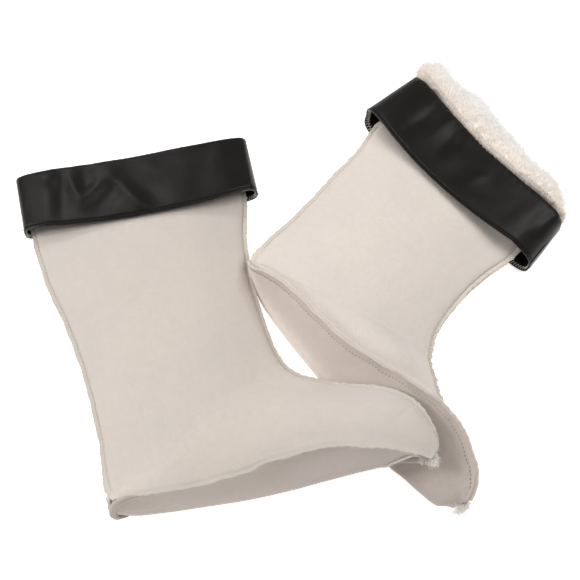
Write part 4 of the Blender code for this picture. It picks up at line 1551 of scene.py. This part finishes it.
def bump(tree, shader, height, depth):
    node = tree.nodes.new("ShaderNodeBump")
    set_values(node, Distance=depth, Strength=1.0)
    tree.links.new(height, node.inputs["Height"])
    tree.links.new(node.outputs["Normal"], shader.inputs["Normal"])


def darker(colour, share):
    return (colour[0] * share, colour[1] * share, colour[2] * share, 1.0)


def cloth_material(name, warm, cool, allowance, fluff, depth, groups, shade=1.0):
    """Brushed knit or sole cloth: mottled dye, knit relief and a yellower raw seam allowance, darkened by a
    share as painted shade; a sole also gets painted shade at its toe and painted light along its turned-up
    edge.
    """
    warm, cool, allowance = (darker(colour, shade) for colour in (warm, cool, allowance))
    finish = {"Roughness": 0.95, "Sheen_Weight": 0.15, "Sheen_Roughness": 0.6, "Specular_IOR_Level": 0.15}
    material, tree, shader, place = shader_of(name, **finish)
    mottle = use_group(tree, groups["mottle"], Place=place)
    map_node = tree.nodes.new("ShaderNodeUVMap")
    map_node.uv_map = "cloth"
    knit = use_group(tree, groups["knit"], Map=map_node.outputs["UV"], Place=place, Fluff=fluff)
    broad = tree.nodes.new("ShaderNodeMapRange")
    set_values(broad, From_Min=0.38, From_Max=0.62)
    tree.links.new(mottle.outputs["Broad"], broad.inputs["Value"])
    dyed = colour_mix(tree, broad.outputs["Result"], warm, cool)
    # Painted shade towards a sole's toe
    toe = maths(tree, "MULTIPLY", attribute_value(tree, "toe"), 0.75)
    painted_shade = colour_mix(tree, toe, dyed, darker(warm, 0.42))
    # Painted light along a sole's turned-up edge, mixed towards a pale cream
    turned_up = maths(tree, "MULTIPLY", attribute_value(tree, "turned_up"), 0.85)
    base = colour_mix(tree, turned_up, painted_shade, darker((0.95, 0.87, 0.79), shade))
    fine = maths(tree, "MULTIPLY_ADD", mottle.outputs["Fine"], 0.8, -0.2)
    flecked = colour_mix(tree, fine, base, darker(warm, 0.82))
    dotted = maths(tree, "MULTIPLY", maths(tree, "SUBTRACT", 1.0, knit.outputs["Loops"]), 0.10)
    loops = colour_mix(tree, dotted, flecked, darker(warm, 0.7))
    edge = maths(tree, "MULTIPLY", attribute_value(tree, "allowance"), 0.55)
    edged = colour_mix(tree, edge, loops, allowance)
    sewn = maths(tree, "MULTIPLY", attribute_value(tree, "seam"), 0.12)
    tree.links.new(colour_mix(tree, sewn, edged, darker(allowance, 0.5)), shader.inputs["Base Color"])
    bump(tree, shader, knit.outputs["Height"], depth)
    return material


def leather_material(name, colour, worn_colour, roughness, groups):
    """Black leather: rubbed in places, darker along its hem, with a fine grain."""
    material, tree, shader, place = shader_of(name, Roughness=roughness, Specular_IOR_Level=0.16)
    grain = use_group(tree, groups["grain"], Place=place)
    worn = maths(tree, "MULTIPLY_ADD", grain.outputs["Worn"], 1.2, -0.4)
    rubbed = colour_mix(tree, worn, colour, worn_colour)
    hem = maths(tree, "MULTIPLY", attribute_value(tree, "hem"), 0.7)
    tree.links.new(colour_mix(tree, hem, rubbed, darker(colour, 0.5)), shader.inputs["Base Color"])
    finish = maths(tree, "MULTIPLY_ADD", grain.outputs["Worn"], 0.08, roughness - 0.04)
    tree.links.new(finish, shader.inputs["Roughness"])
    bump(tree, shader, grain.outputs["Height"], 0.00005)
    return material


def fur_material(name, root, tip, own_light, soft):
    """Pile that is peach at its roots and near the cuff, and cream at its tips.

    Pile passes light on from strand to strand, which the strands' own faint light stands for.
    """
    finish = {
        "Roughness": 0.9, "Emission_Strength": own_light, "Specular_IOR_Level": 0.2,
        "Sheen_Weight": 0.5, "Sheen_Roughness": 0.5,
        "Subsurface_Weight": soft, "Subsurface_Radius": (1.0, 0.85, 0.7), "Subsurface_Scale": 0.003,
    }
    material, tree, shader, place = shader_of(name, **finish)
    toned = maths(tree, "MULTIPLY_ADD", attribute_value(tree, "shade"), 0.18, -0.10)
    tips = maths(tree, "MULTIPLY_ADD", attribute_value(tree, "tip"), 0.35, toned)
    share = maths(tree, "MULTIPLY_ADD", attribute_value(tree, "beyond"), 0.028, tips)
    toned_pile = colour_mix(tree, share, root, tip)
    tree.links.new(toned_pile, shader.inputs["Base Color"])
    tree.links.new(toned_pile, shader.inputs["Emission Color"])
    bump(tree, shader, noise_node(tree, place, 500.0, 3.0, 0.6), 0.0004)
    return material


# The heel roll's painted shade against the sole, and the colours of the loose fibres
ROLL_PAINTED_SHADE = 0.62
LINT_ROOT = (0.78, 0.71, 0.65, 1.0)
LINT_TIP = (0.86, 0.815, 0.765, 1.0)


def thread_material(name, colour):
    """Twisted thread, a little paler along its raised turns."""
    material, tree, shader, place = shader_of(name, Roughness=0.8)
    twist = noise_node(tree, place, 1400.0)
    tree.links.new(colour_mix(tree, twist, darker(colour, 0.85), colour), shader.inputs["Base Color"])
    bump(tree, shader, twist, 0.00015)
    return material


class MakeMaterials:
    """The finishes of the pair, made once and shared by its pieces."""

    made = {}

    @classmethod
    def get(cls, name):
        if not cls.made:
            cls.make()
        return cls.made[name]

    @classmethod
    def make(cls):
        scene = bpy.context.scene
        cloth, leather, fur = scene.liner_cloth, scene.liner_leather, scene.liner_fur
        groups = {"knit": knit_group(), "mottle": mottle_group(), "grain": grain_group()}
        knit = (cloth.knit_warm, cloth.knit_cool, cloth.allowance, 0.7, 0.0004, groups)
        soles = (cloth.sole_warm, cloth.sole_cool, cloth.sole_edge, 0.4, 0.00025, groups)
        cls.made = {
            # The first liner's knit and sole are the second one's, darkened as painted shade
            "first_knit": cloth_material("First brushed knit", *knit, cloth.first_painted_shade),
            "second_knit": cloth_material("Second brushed knit", *knit),
            "first_sole_cloth": cloth_material("First sole cloth", *soles, cloth.first_sole_painted_shade),
            "second_sole_cloth": cloth_material("Second sole cloth", *soles),
            "black_leather": leather_material(
                "Black leather", (*leather.colour, 1.0), (*leather.worn, 1.0), leather.roughness, groups
            ),
            "cream_fur": fur_material("Cream fur", (*fur.root, 1.0), (*fur.tip, 1.0), 0.09, 0.3),
            "fur_strands": fur_material("Fur strands", (*fur.root, 1.0), (*fur.tip, 1.0), 0.12, 0.0),
            "cream_thread": thread_material("Cream thread", (*cloth.thread, 1.0)),
            # The heel roll is the sole cloth darkened as painted shade under the heel
            "sole_roll_in_painted_shade": thread_material("Sole's rolled edge", darker(cloth.sole_warm, ROLL_PAINTED_SHADE)),
            "toe_fold": thread_material("Fold under the toe", darker(cloth.sole_cool, 0.9)),
            "seam_end": thread_material("Back seam's end", (*cloth.allowance, 1.0)),
            "seam_thread": thread_material("Seam thread", (*cloth.stitch, 1.0)),
            "lint": fur_material("Loose lint", LINT_ROOT, LINT_TIP, 0.08, 0.0),
            # The sole's stitches are the seam thread darkened by half, as painted shade in their holes
            "sole_thread": thread_material("Sole's stitches", darker(cloth.stitch, 0.5)),
            "dark_thread": thread_material("Dark thread", (*leather.thread, 1.0)),
            "grey_thread": thread_material("Grey thread", (*leather.edge_thread, 1.0)),
        }


def dress(piece, material, node=None):
    """Gives a piece its finish and ties it to the frame."""
    piece.data.materials.append(MakeMaterials.get(material))
    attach(piece, "root")
    if node:
        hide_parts(node)


def colour_setting(name, description, default):
    return bpy.props.FloatVectorProperty(
        name=name, description=description, subtype="COLOR", size=3, min=0.0, max=1.0, default=default
    )


def share_setting(name, description, default, lowest=0.5):
    return bpy.props.FloatProperty(
        name=name, description=description, subtype="FACTOR", min=lowest, max=1.0, default=default
    )


def light_setting(name, description, default, highest=200.0):
    return bpy.props.FloatProperty(name=name, description=description, min=0.0, max=highest, default=default)


class LinerClothSettings(bpy.types.PropertyGroup):
    """Colours of the knit, the soles and their thread."""

    knit_warm: colour_setting(
        name="Knit, warm", description="Warmer tone of the brushed knit", default=(0.69, 0.615, 0.55)
    )
    knit_cool: colour_setting(
        name="Knit, cool", description="Cooler tone of the brushed knit", default=(0.655, 0.59, 0.545)
    )
    allowance: colour_setting(
        name="Seam allowance", description="Raw edges of the knit", default=(0.64, 0.585, 0.50)
    )
    sole_warm: colour_setting(
        name="Sole, warm", description="Warmer tone of the sole cloth", default=(0.69, 0.597, 0.53)
    )
    sole_cool: colour_setting(
        name="Sole, cool", description="Cooler tone of the sole cloth", default=(0.66, 0.582, 0.53)
    )
    sole_edge: colour_setting(
        name="Sole edge", description="Raw edge of the sole", default=(0.52, 0.44, 0.39)
    )
    thread: colour_setting(
        name="Edge thread", description="Thread over the raw edges", default=(0.66, 0.60, 0.52)
    )
    # Painted shade: the first liner's knit is the second one's, darkened by this share
    first_painted_shade: share_setting(
        name="First liner's painted shade", description="The first liner's knit against the second one's",
        default=0.86,
    )
    # Painted shade: the first sole is the second one's cloth, darkened by this share
    first_sole_painted_shade: share_setting(
        name="First sole's painted shade", description="The first liner's sole against the second one's", default=0.77
    )
    stitch: colour_setting(
        name="Stitches", description="Thread of the seams' own stitches", default=(0.36, 0.30, 0.25)
    )


class LinerLeatherSettings(bpy.types.PropertyGroup):
    """Finish of the turned-down cuffs."""

    colour: colour_setting(
        name="Leather", description="Colour of the cuffs", default=(0.0076, 0.0065, 0.0059)
    )
    worn: colour_setting(
        name="Worn leather", description="Colour on rubbed places", default=(0.013, 0.0112, 0.0101)
    )
    roughness: share_setting(name="Roughness", description="0 is glossy, 1 is matt", default=0.31, lowest=0.0)
    thread: colour_setting(
        name="Hem thread", description="Stitches along the hem", default=(0.0035, 0.003, 0.003)
    )
    edge_thread: colour_setting(
        name="Inside thread", description="Thread over the hem's raw edge inside", default=(0.78, 0.78, 0.76)
    )


class LinerFurSettings(bpy.types.PropertyGroup):
    """Pile of the mouth linings."""

    root: colour_setting(
        name="Roots", description="Colour of the pile near its backing", default=(0.89, 0.785, 0.69)
    )
    tip: colour_setting(name="Tips", description="Colour of the pile's tips", default=(0.92, 0.91, 0.888))
    longest: bpy.props.FloatProperty(
        name="Longest strand", description="Length of the longest strands", subtype="DISTANCE",
        unit="LENGTH", min=0.004, max=0.03, default=0.015,
    )


class LinerStageSettings(bpy.types.PropertyGroup):
    """Light, and the height and distance of the camera."""

    elevation: bpy.props.FloatProperty(
        name="Camera elevation", description="Angle of the view above the horizon", subtype="ANGLE",
        min=0.0, max=math.pi / 2, default=math.radians(64),
    )
    distance: bpy.props.FloatProperty(
        name="Camera distance", description="From the camera to the middle of the pair",
        subtype="DISTANCE", unit="LENGTH", min=0.5, max=5.0, default=1.5,
    )
    key: light_setting(name="Main light", description="Power of the main softbox", default=14.6)
    back: light_setting(name="Back light", description="Power of the softbox behind the cuffs", default=7.0)
    side: light_setting(name="Side light", description="Power of the low softbox at the soles", default=11.0)
    front: light_setting(
        name="Front light", description="Power of the soft light from the front", default=1.0
    )
    sky: light_setting(
        name="Surrounding light", description="Light from all round", default=0.31, highest=4.0
    )


class LINERS_OT_panels(bpy.types.Operator):
    """Adds the upper and lower knit panels of both liners."""

    bl_idname = "liners.panels"
    bl_label = "Knit panels"

    def execute(self, context):
        for liner in LINERS:
            form = Form(liner)
            for build, node in ((upper_panel, "upper_panel"), (lower_panel, "lower_panel")):
                piece = build(form)
                dress(piece, f"{liner.name}_knit", f"{liner.name}_{node}")
        return {"FINISHED"}


class LINERS_OT_soles(bpy.types.Operator):
    """Adds the soles of both liners."""

    bl_idname = "liners.soles"
    bl_label = "Soles"

    def execute(self, context):
        for liner in LINERS:
            piece = sole(Form(liner))
            dress(piece, f"{liner.name}_sole_cloth", f"{liner.name}_sole")
        dress(edge_roll("first_heel_roll", HEEL_ROLL, HEEL_ROLL_RADIUS), "sole_roll_in_painted_shade")
        dress(toe_fold(Form(FIRST)), "toe_fold")
        dress(edge_roll("first_heel_seam_end", HEEL_SEAM_END, HEEL_SEAM_RADIUS), "seam_end")
        return {"FINISHED"}


class LINERS_OT_cuffs(bpy.types.Operator):
    """Adds the turned-down leather cuffs with the stitches of their hems."""

    bl_idname = "liners.cuffs"
    bl_label = "Leather cuffs"

    def execute(self, context):
        for liner in LINERS:
            band = Band(liner)
            piece = cuff(band)
            dress(piece, "black_leather", f"{liner.name}_cuff")
            dress(hem_stitches(band), "dark_thread")
            dress(hem_overlock(band), "grey_thread")
        return {"FINISHED"}


class LINERS_OT_fur(bpy.types.Operator):
    """Adds the pile of the mouth linings and the loose fibres at the toes."""

    bl_idname = "liners.fur"
    bl_label = "Fur"

    def execute(self, context):
        longest = context.scene.liner_fur.longest / MM
        for liner, sink in ((FIRST, 1.0), (SECOND, 2.6)):
            backing = fur_backing(liner, sink)
            dress(backing, "cream_fur", f"{liner.name}_mouth_fur")
        # Each row's seed, number of strands, depth of the roots, lengths, and where past the fold they grow
        strands = (
            ("first_fur", FIRST, 11, 3000, 1.0, 3.0, 5.0, -9.0),
            ("second_fur_a", SECOND, 21, 9800, 2.2, 2.6, 0.45 * longest, 1.0),
            ("second_fur_b", SECOND, 22, 9800, 2.2, 2.6, 0.45 * longest, 1.0),
            ("second_fur_wisps", SECOND, 23, 1800, 2.0, 5.0, 0.9 * longest, 6.0),
        )
        for row in strands:
            dress(fur_strands(*row), "fur_strands")
        for seed, row in enumerate(TUFTS):
            dress(tuft(row, 31 + seed), "lint")
        return {"FINISHED"}


class LINERS_OT_seams(bpy.types.Operator):
    """Adds the stitches of the seams and the thread over their raw edges."""

    bl_idname = "liners.seams"
    bl_label = "Seam thread"

    def execute(self, context):
        for liner in LINERS:
            form = Form(liner)
            for piece in panel_threads(form):
                dress(piece, "cream_thread" if "overlock" in piece.name else "seam_thread")
            dress(sole_threads(form), "sole_thread")
        return {"FINISHED"}


class LINERS_OT_stage(bpy.types.Operator):
    """Adds the floor, the lights and the camera at the photograph's angle."""

    bl_idname = "liners.stage"
    bl_label = "Floor, light and camera"

    def execute(self, context):
        build_stage(context.scene)
        return {"FINISHED"}


class LINERS_PT_sidebar(bpy.types.Panel):
    """Lists the settings and the steps of the pair."""

    bl_label = "Pair of boot liners"
    bl_idname = "LINERS_PT_sidebar"
    bl_space_type = "VIEW_3D"
    bl_region_type = "UI"
    bl_category = "Boot liners"

    def draw(self, context):
        layout = self.layout
        for group in (
            context.scene.liner_cloth, context.scene.liner_leather,
            context.scene.liner_fur, context.scene.liner_stage,
        ):
            box = layout.box()
            for key in group.__class__.__annotations__:
                box.prop(group, key)
        for operator in STEPS:
            layout.operator(operator.bl_idname)


STEPS = (
    LINERS_OT_panels, LINERS_OT_soles, LINERS_OT_cuffs, LINERS_OT_fur, LINERS_OT_seams, LINERS_OT_stage,
)
SETTINGS = (
    ("liner_cloth", LinerClothSettings), ("liner_leather", LinerLeatherSettings),
    ("liner_fur", LinerFurSettings), ("liner_stage", LinerStageSettings),
)


def hem_stitches(band):
    """Dark stitches along the outer face of the hem."""
    along = HEM_STITCH_FROM_EDGE / band.length
    paths, ups = [], []
    fine = even_angles(lambda angle: band.smooth(angle, along)[0], 520)
    places = np.array([band.outer(angle, along) for angle in fine], float)
    runs = running(places)
    for start in np.arange(0.0, runs[-1] - HEM_STITCH_PITCH, HEM_STITCH_PITCH):
        steps = start + HEM_STITCH_LENGTH * STITCH_STEPS
        path = along_edge(runs, places, steps)
        if path[2][2] < band.middle_height + 3:
            continue
        path[:, 2] += np.array([-0.5, 0.3, 0.45, 0.3, -0.5])
        paths.append(path)
        ups.append((0.0, 0.0, 1.0))
    paths = Form(band.liner).placed_all(np.array(paths))
    return bent_tubes(f"{band.liner.name}_hem_stitches", paths, ups, HEM_THREAD_RADIUS)


def hem_overlock(band):
    """Pale thread that zigzags over the hem's raw edge on its inner side."""
    fine = even_angles(lambda angle: band.smooth(angle, 0.03)[0], HEM_LOOPS)
    paths, ups = [], []
    for angle, ahead in zip(fine, [*fine[1:], fine[0] + 2 * math.pi]):
        edge = np.array(band.outer(angle, 0.0))
        deep = np.array(band.outer((angle + ahead) / 2, HEM_LOOP_DEPTH / band.length))
        last = np.array(band.outer(ahead, 0.0))
        middle = np.array(band.smooth(0.0, 0.02)[0]) * 0.5 + np.array(band.smooth(math.pi, 0.02)[0]) * 0.5
        inward = middle - edge
        inward[2] = band.middle_height - edge[2]
        inward[:2] *= 0.25
        inward /= max(np.linalg.norm(inward), 1e-6)
        gap = inward * (CUFF_LEATHER + 0.4)
        near = edge + (deep - edge) * 0.05
        paths.append([near + gap, (near + deep) / 2 + gap * 1.1, deep + gap, (deep + last) / 2 + gap * 1.1])
        ups.append(inward)
    paths = Form(band.liner).placed_all(np.array(paths))
    return bent_tubes(f"{band.liner.name}_hem_overlock", paths, ups, HEM_LOOP_RADIUS)


# How far inside its fin a sole is stitched, and with what
SOLE_STITCH_INSET = {"first": 0.0, "second": 2.4}
SOLE_THREAD_RADIUS = 0.42
SOLE_STITCH_LENGTH = 1.5

# How far from the mouth the seams' stitches come out from under the cuff
STITCHES_FROM = {"first": 52.0, "second": 46.0}

# Where the loops over a raw edge end, as stations; beyond, the sole's own edge covers them
OVERLOCK_UNTIL = {"first": {"front": 18.8, "back": 7.6}, "second": {"front": 21.8, "back": 7.4}}


def panel_threads(form):
    """Stitches at the foot of each fin of the upper panel and loops over its raw edge."""
    liner = form.liner
    root = len(FIN_SHARES) - 1
    columns = panel_columns(UPPER_MIDDLE_COLUMNS)
    _, points, away, _ = sampled(form, form.stations, columns, "upper")
    points = form.placed_all(points)
    share = np.vectorize(groove)(away)
    upper, up = outer_face(points, PANEL_CLOTH * share, 1)
    if up[10, len(columns) // 2, 2] < 0:
        upper, up = outer_face(points, PANEL_CLOTH * share, -1)
    front_runs, back_runs = np.array(form.runs["front"]), np.array(form.runs["back"])
    from_cuff = STITCHES_FROM[liner.name]
    pieces = []
    for side, runs, line in (("front", front_runs, root), ("back", back_runs, -1 - root)):
        name = f"{liner.name}_{side}_stitches"
        until = form.run("back", liner.heel) if side == "back" else runs[-1] - 8
        pieces.append(stitch_row(name, runs, upper[:, line], up[:, line], from_cuff, until))
        raw, middle, inner = (0, 1, 2) if side == "front" else (-1, -2, -3)
        out = unit(upper[:, raw] - upper[:, inner])
        rows = [
            upper[:, inner] - up[:, inner] * 0.2,
            upper[:, middle] + up[:, middle] * 0.25,
            upper[:, raw] + up[:, raw] * 0.15,
            upper[:, raw] + out * 0.45 - up[:, raw] * 1.2,
            upper[:, raw] + out * 0.45 - up[:, raw] * (PANEL_CLOTH + 1.5),
            upper[:, raw] - out * 0.8 - up[:, raw] * (2 * PANEL_CLOTH + 0.5),
        ]
        kept = (runs > from_cuff) & (np.array(form.stations) < OVERLOCK_UNTIL[liner.name][side])
        rows = [row[kept] for row in rows]
        pieces.append(overlock_row(f"{liner.name}_{side}_overlock", runs[kept], rows))
    return pieces


def sole_threads(form):
    """Stitches along the sole's upper seam."""
    liner = form.liner
    stations, sections, base, _ = sole_points(form)
    base = form.placed_all(base)
    runs = np.array([s.back_run for s in sections])
    outside, out_way = outer_face(base, SOLE_CLOTH * (1 - GROOVE_SHARE), 1)
    middle = base[len(stations) // 2, len(FIN_SHARES) + SOLE_WALL_COLUMNS // 2]
    centre = form.placed_all(np.array(form.edge("front", 14)))
    if np.dot(out_way[len(stations) // 2, len(FIN_SHARES) + 6, :2], (middle - centre)[:2]) < 0:
        outside, out_way = outer_face(base, SOLE_CLOTH * (1 - GROOVE_SHARE), -1)
    down = running(base)
    wanted = [section.fin + SOLE_STITCH_INSET[liner.name] for section in sections]
    line, ups = (
        np.array([[np.interp(w, d, row[:, k]) for k in range(3)] for w, d, row in zip(wanted, down, grid)])
        for grid in (outside, out_way)
    )
    name, ends = f"{liner.name}_sole_stitches", (runs[0] + 6, runs[-1] - 6)
    return stitch_row(name, runs, line, ups, *ends, SOLE_THREAD_RADIUS, SOLE_STITCH_LENGTH)


def softbox(name, place, target, size, power):
    """A rectangular light that faces its target."""
    light = bpy.data.lights.new(name, "AREA")
    light.shape = "RECTANGLE"
    light.size, light.size_y = size
    light.energy = power
    lamp = new_object(name, light)
    lamp.location = place
    lamp.rotation_euler = (Vector(target) - Vector(place)).to_track_quat("-Z", "Y").to_euler()


# The floor's own light, and the lens and the middle of the view, in millimetres
FLOOR_LIGHT = 0.66
LENS = 103.45
VIEW_MIDDLE = (-0.85, -0.72, 0.0)


def build_stage(scene):
    """The white floor, the soft lights, the light from all round and the camera."""
    settings = scene.liner_stage
    mesh = bpy.data.meshes.new("floor")
    ground = bmesh.new()
    bmesh.ops.create_grid(ground, x_segments=8, y_segments=8, size=3.0)
    ground.to_mesh(mesh)
    ground.free()
    floor = new_object("floor", mesh)
    floor.location.z = -0.0005
    white = {"Emission_Color": (1.0, 1.0, 1.0, 1.0), "Emission_Strength": FLOOR_LIGHT}
    finish = {"Roughness": 0.9, "Specular_IOR_Level": 0.1, **white}
    material, tree, shader, place = shader_of("White floor", **finish)
    soft = noise_node(tree, place, 2.0)
    paper = colour_mix(tree, soft, (0.93, 0.93, 0.93, 1.0), (0.95, 0.95, 0.95, 1.0))
    tree.links.new(paper, shader.inputs["Base Color"])
    floor.data.materials.append(material)

    softbox("main softbox", (0.85, 0.18, 1.38), (0.0, 0.0, 0.0), (1.0, 0.9), settings.key)
    softbox("side softbox", (-1.2, -0.1, 0.95), (0.05, 0.0, 0.02), (0.6, 0.6), settings.side)
    softbox("front softbox", (-0.65, -0.95, 1.1), (0.0, 0.0, 0.0), (0.6, 0.6), settings.front)
    softbox("back softbox", (-0.7, 0.95, 1.2), (0.0, 0.0, 0.0), (0.7, 0.35), settings.back)

    world = bpy.data.worlds.new("studio")
    world.use_nodes = True
    background = world.node_tree.nodes["Background"]
    set_values(background, Color=(1.0, 1.0, 1.0, 1.0), Strength=settings.sky)
    scene.world = world
    scene.view_settings.view_transform = "Standard"

    camera_data = bpy.data.cameras.new("camera")
    camera_data.sensor_width = 36.0
    camera_data.lens = LENS
    camera = new_object("camera", camera_data)
    away = Vector((0.0, -math.cos(settings.elevation), math.sin(settings.elevation)))
    camera.location = Vector(VIEW_MIDDLE) * MM + away * settings.distance
    camera.rotation_euler = (-away).to_track_quat("-Z", "Y").to_euler()
    scene.camera = camera


def register():
    for name, settings in SETTINGS:
        bpy.utils.register_class(settings)
        setattr(bpy.types.Scene, name, bpy.props.PointerProperty(type=settings))
    for cls in (*STEPS, LINERS_PT_sidebar):
        bpy.utils.register_class(cls)


def unregister():
    for cls in (LINERS_PT_sidebar, *reversed(STEPS)):
        bpy.utils.unregister_class(cls)
    for name, settings in reversed(SETTINGS):
        delattr(bpy.types.Scene, name)
        bpy.utils.unregister_class(settings)


def main():
    register()
    bpy.ops.liners.panels()
    bpy.ops.liners.soles()
    bpy.ops.liners.cuffs()
    bpy.ops.liners.fur()
    bpy.ops.liners.seams()
    bpy.ops.liners.stage()


if __name__ == "__main__":
    main()
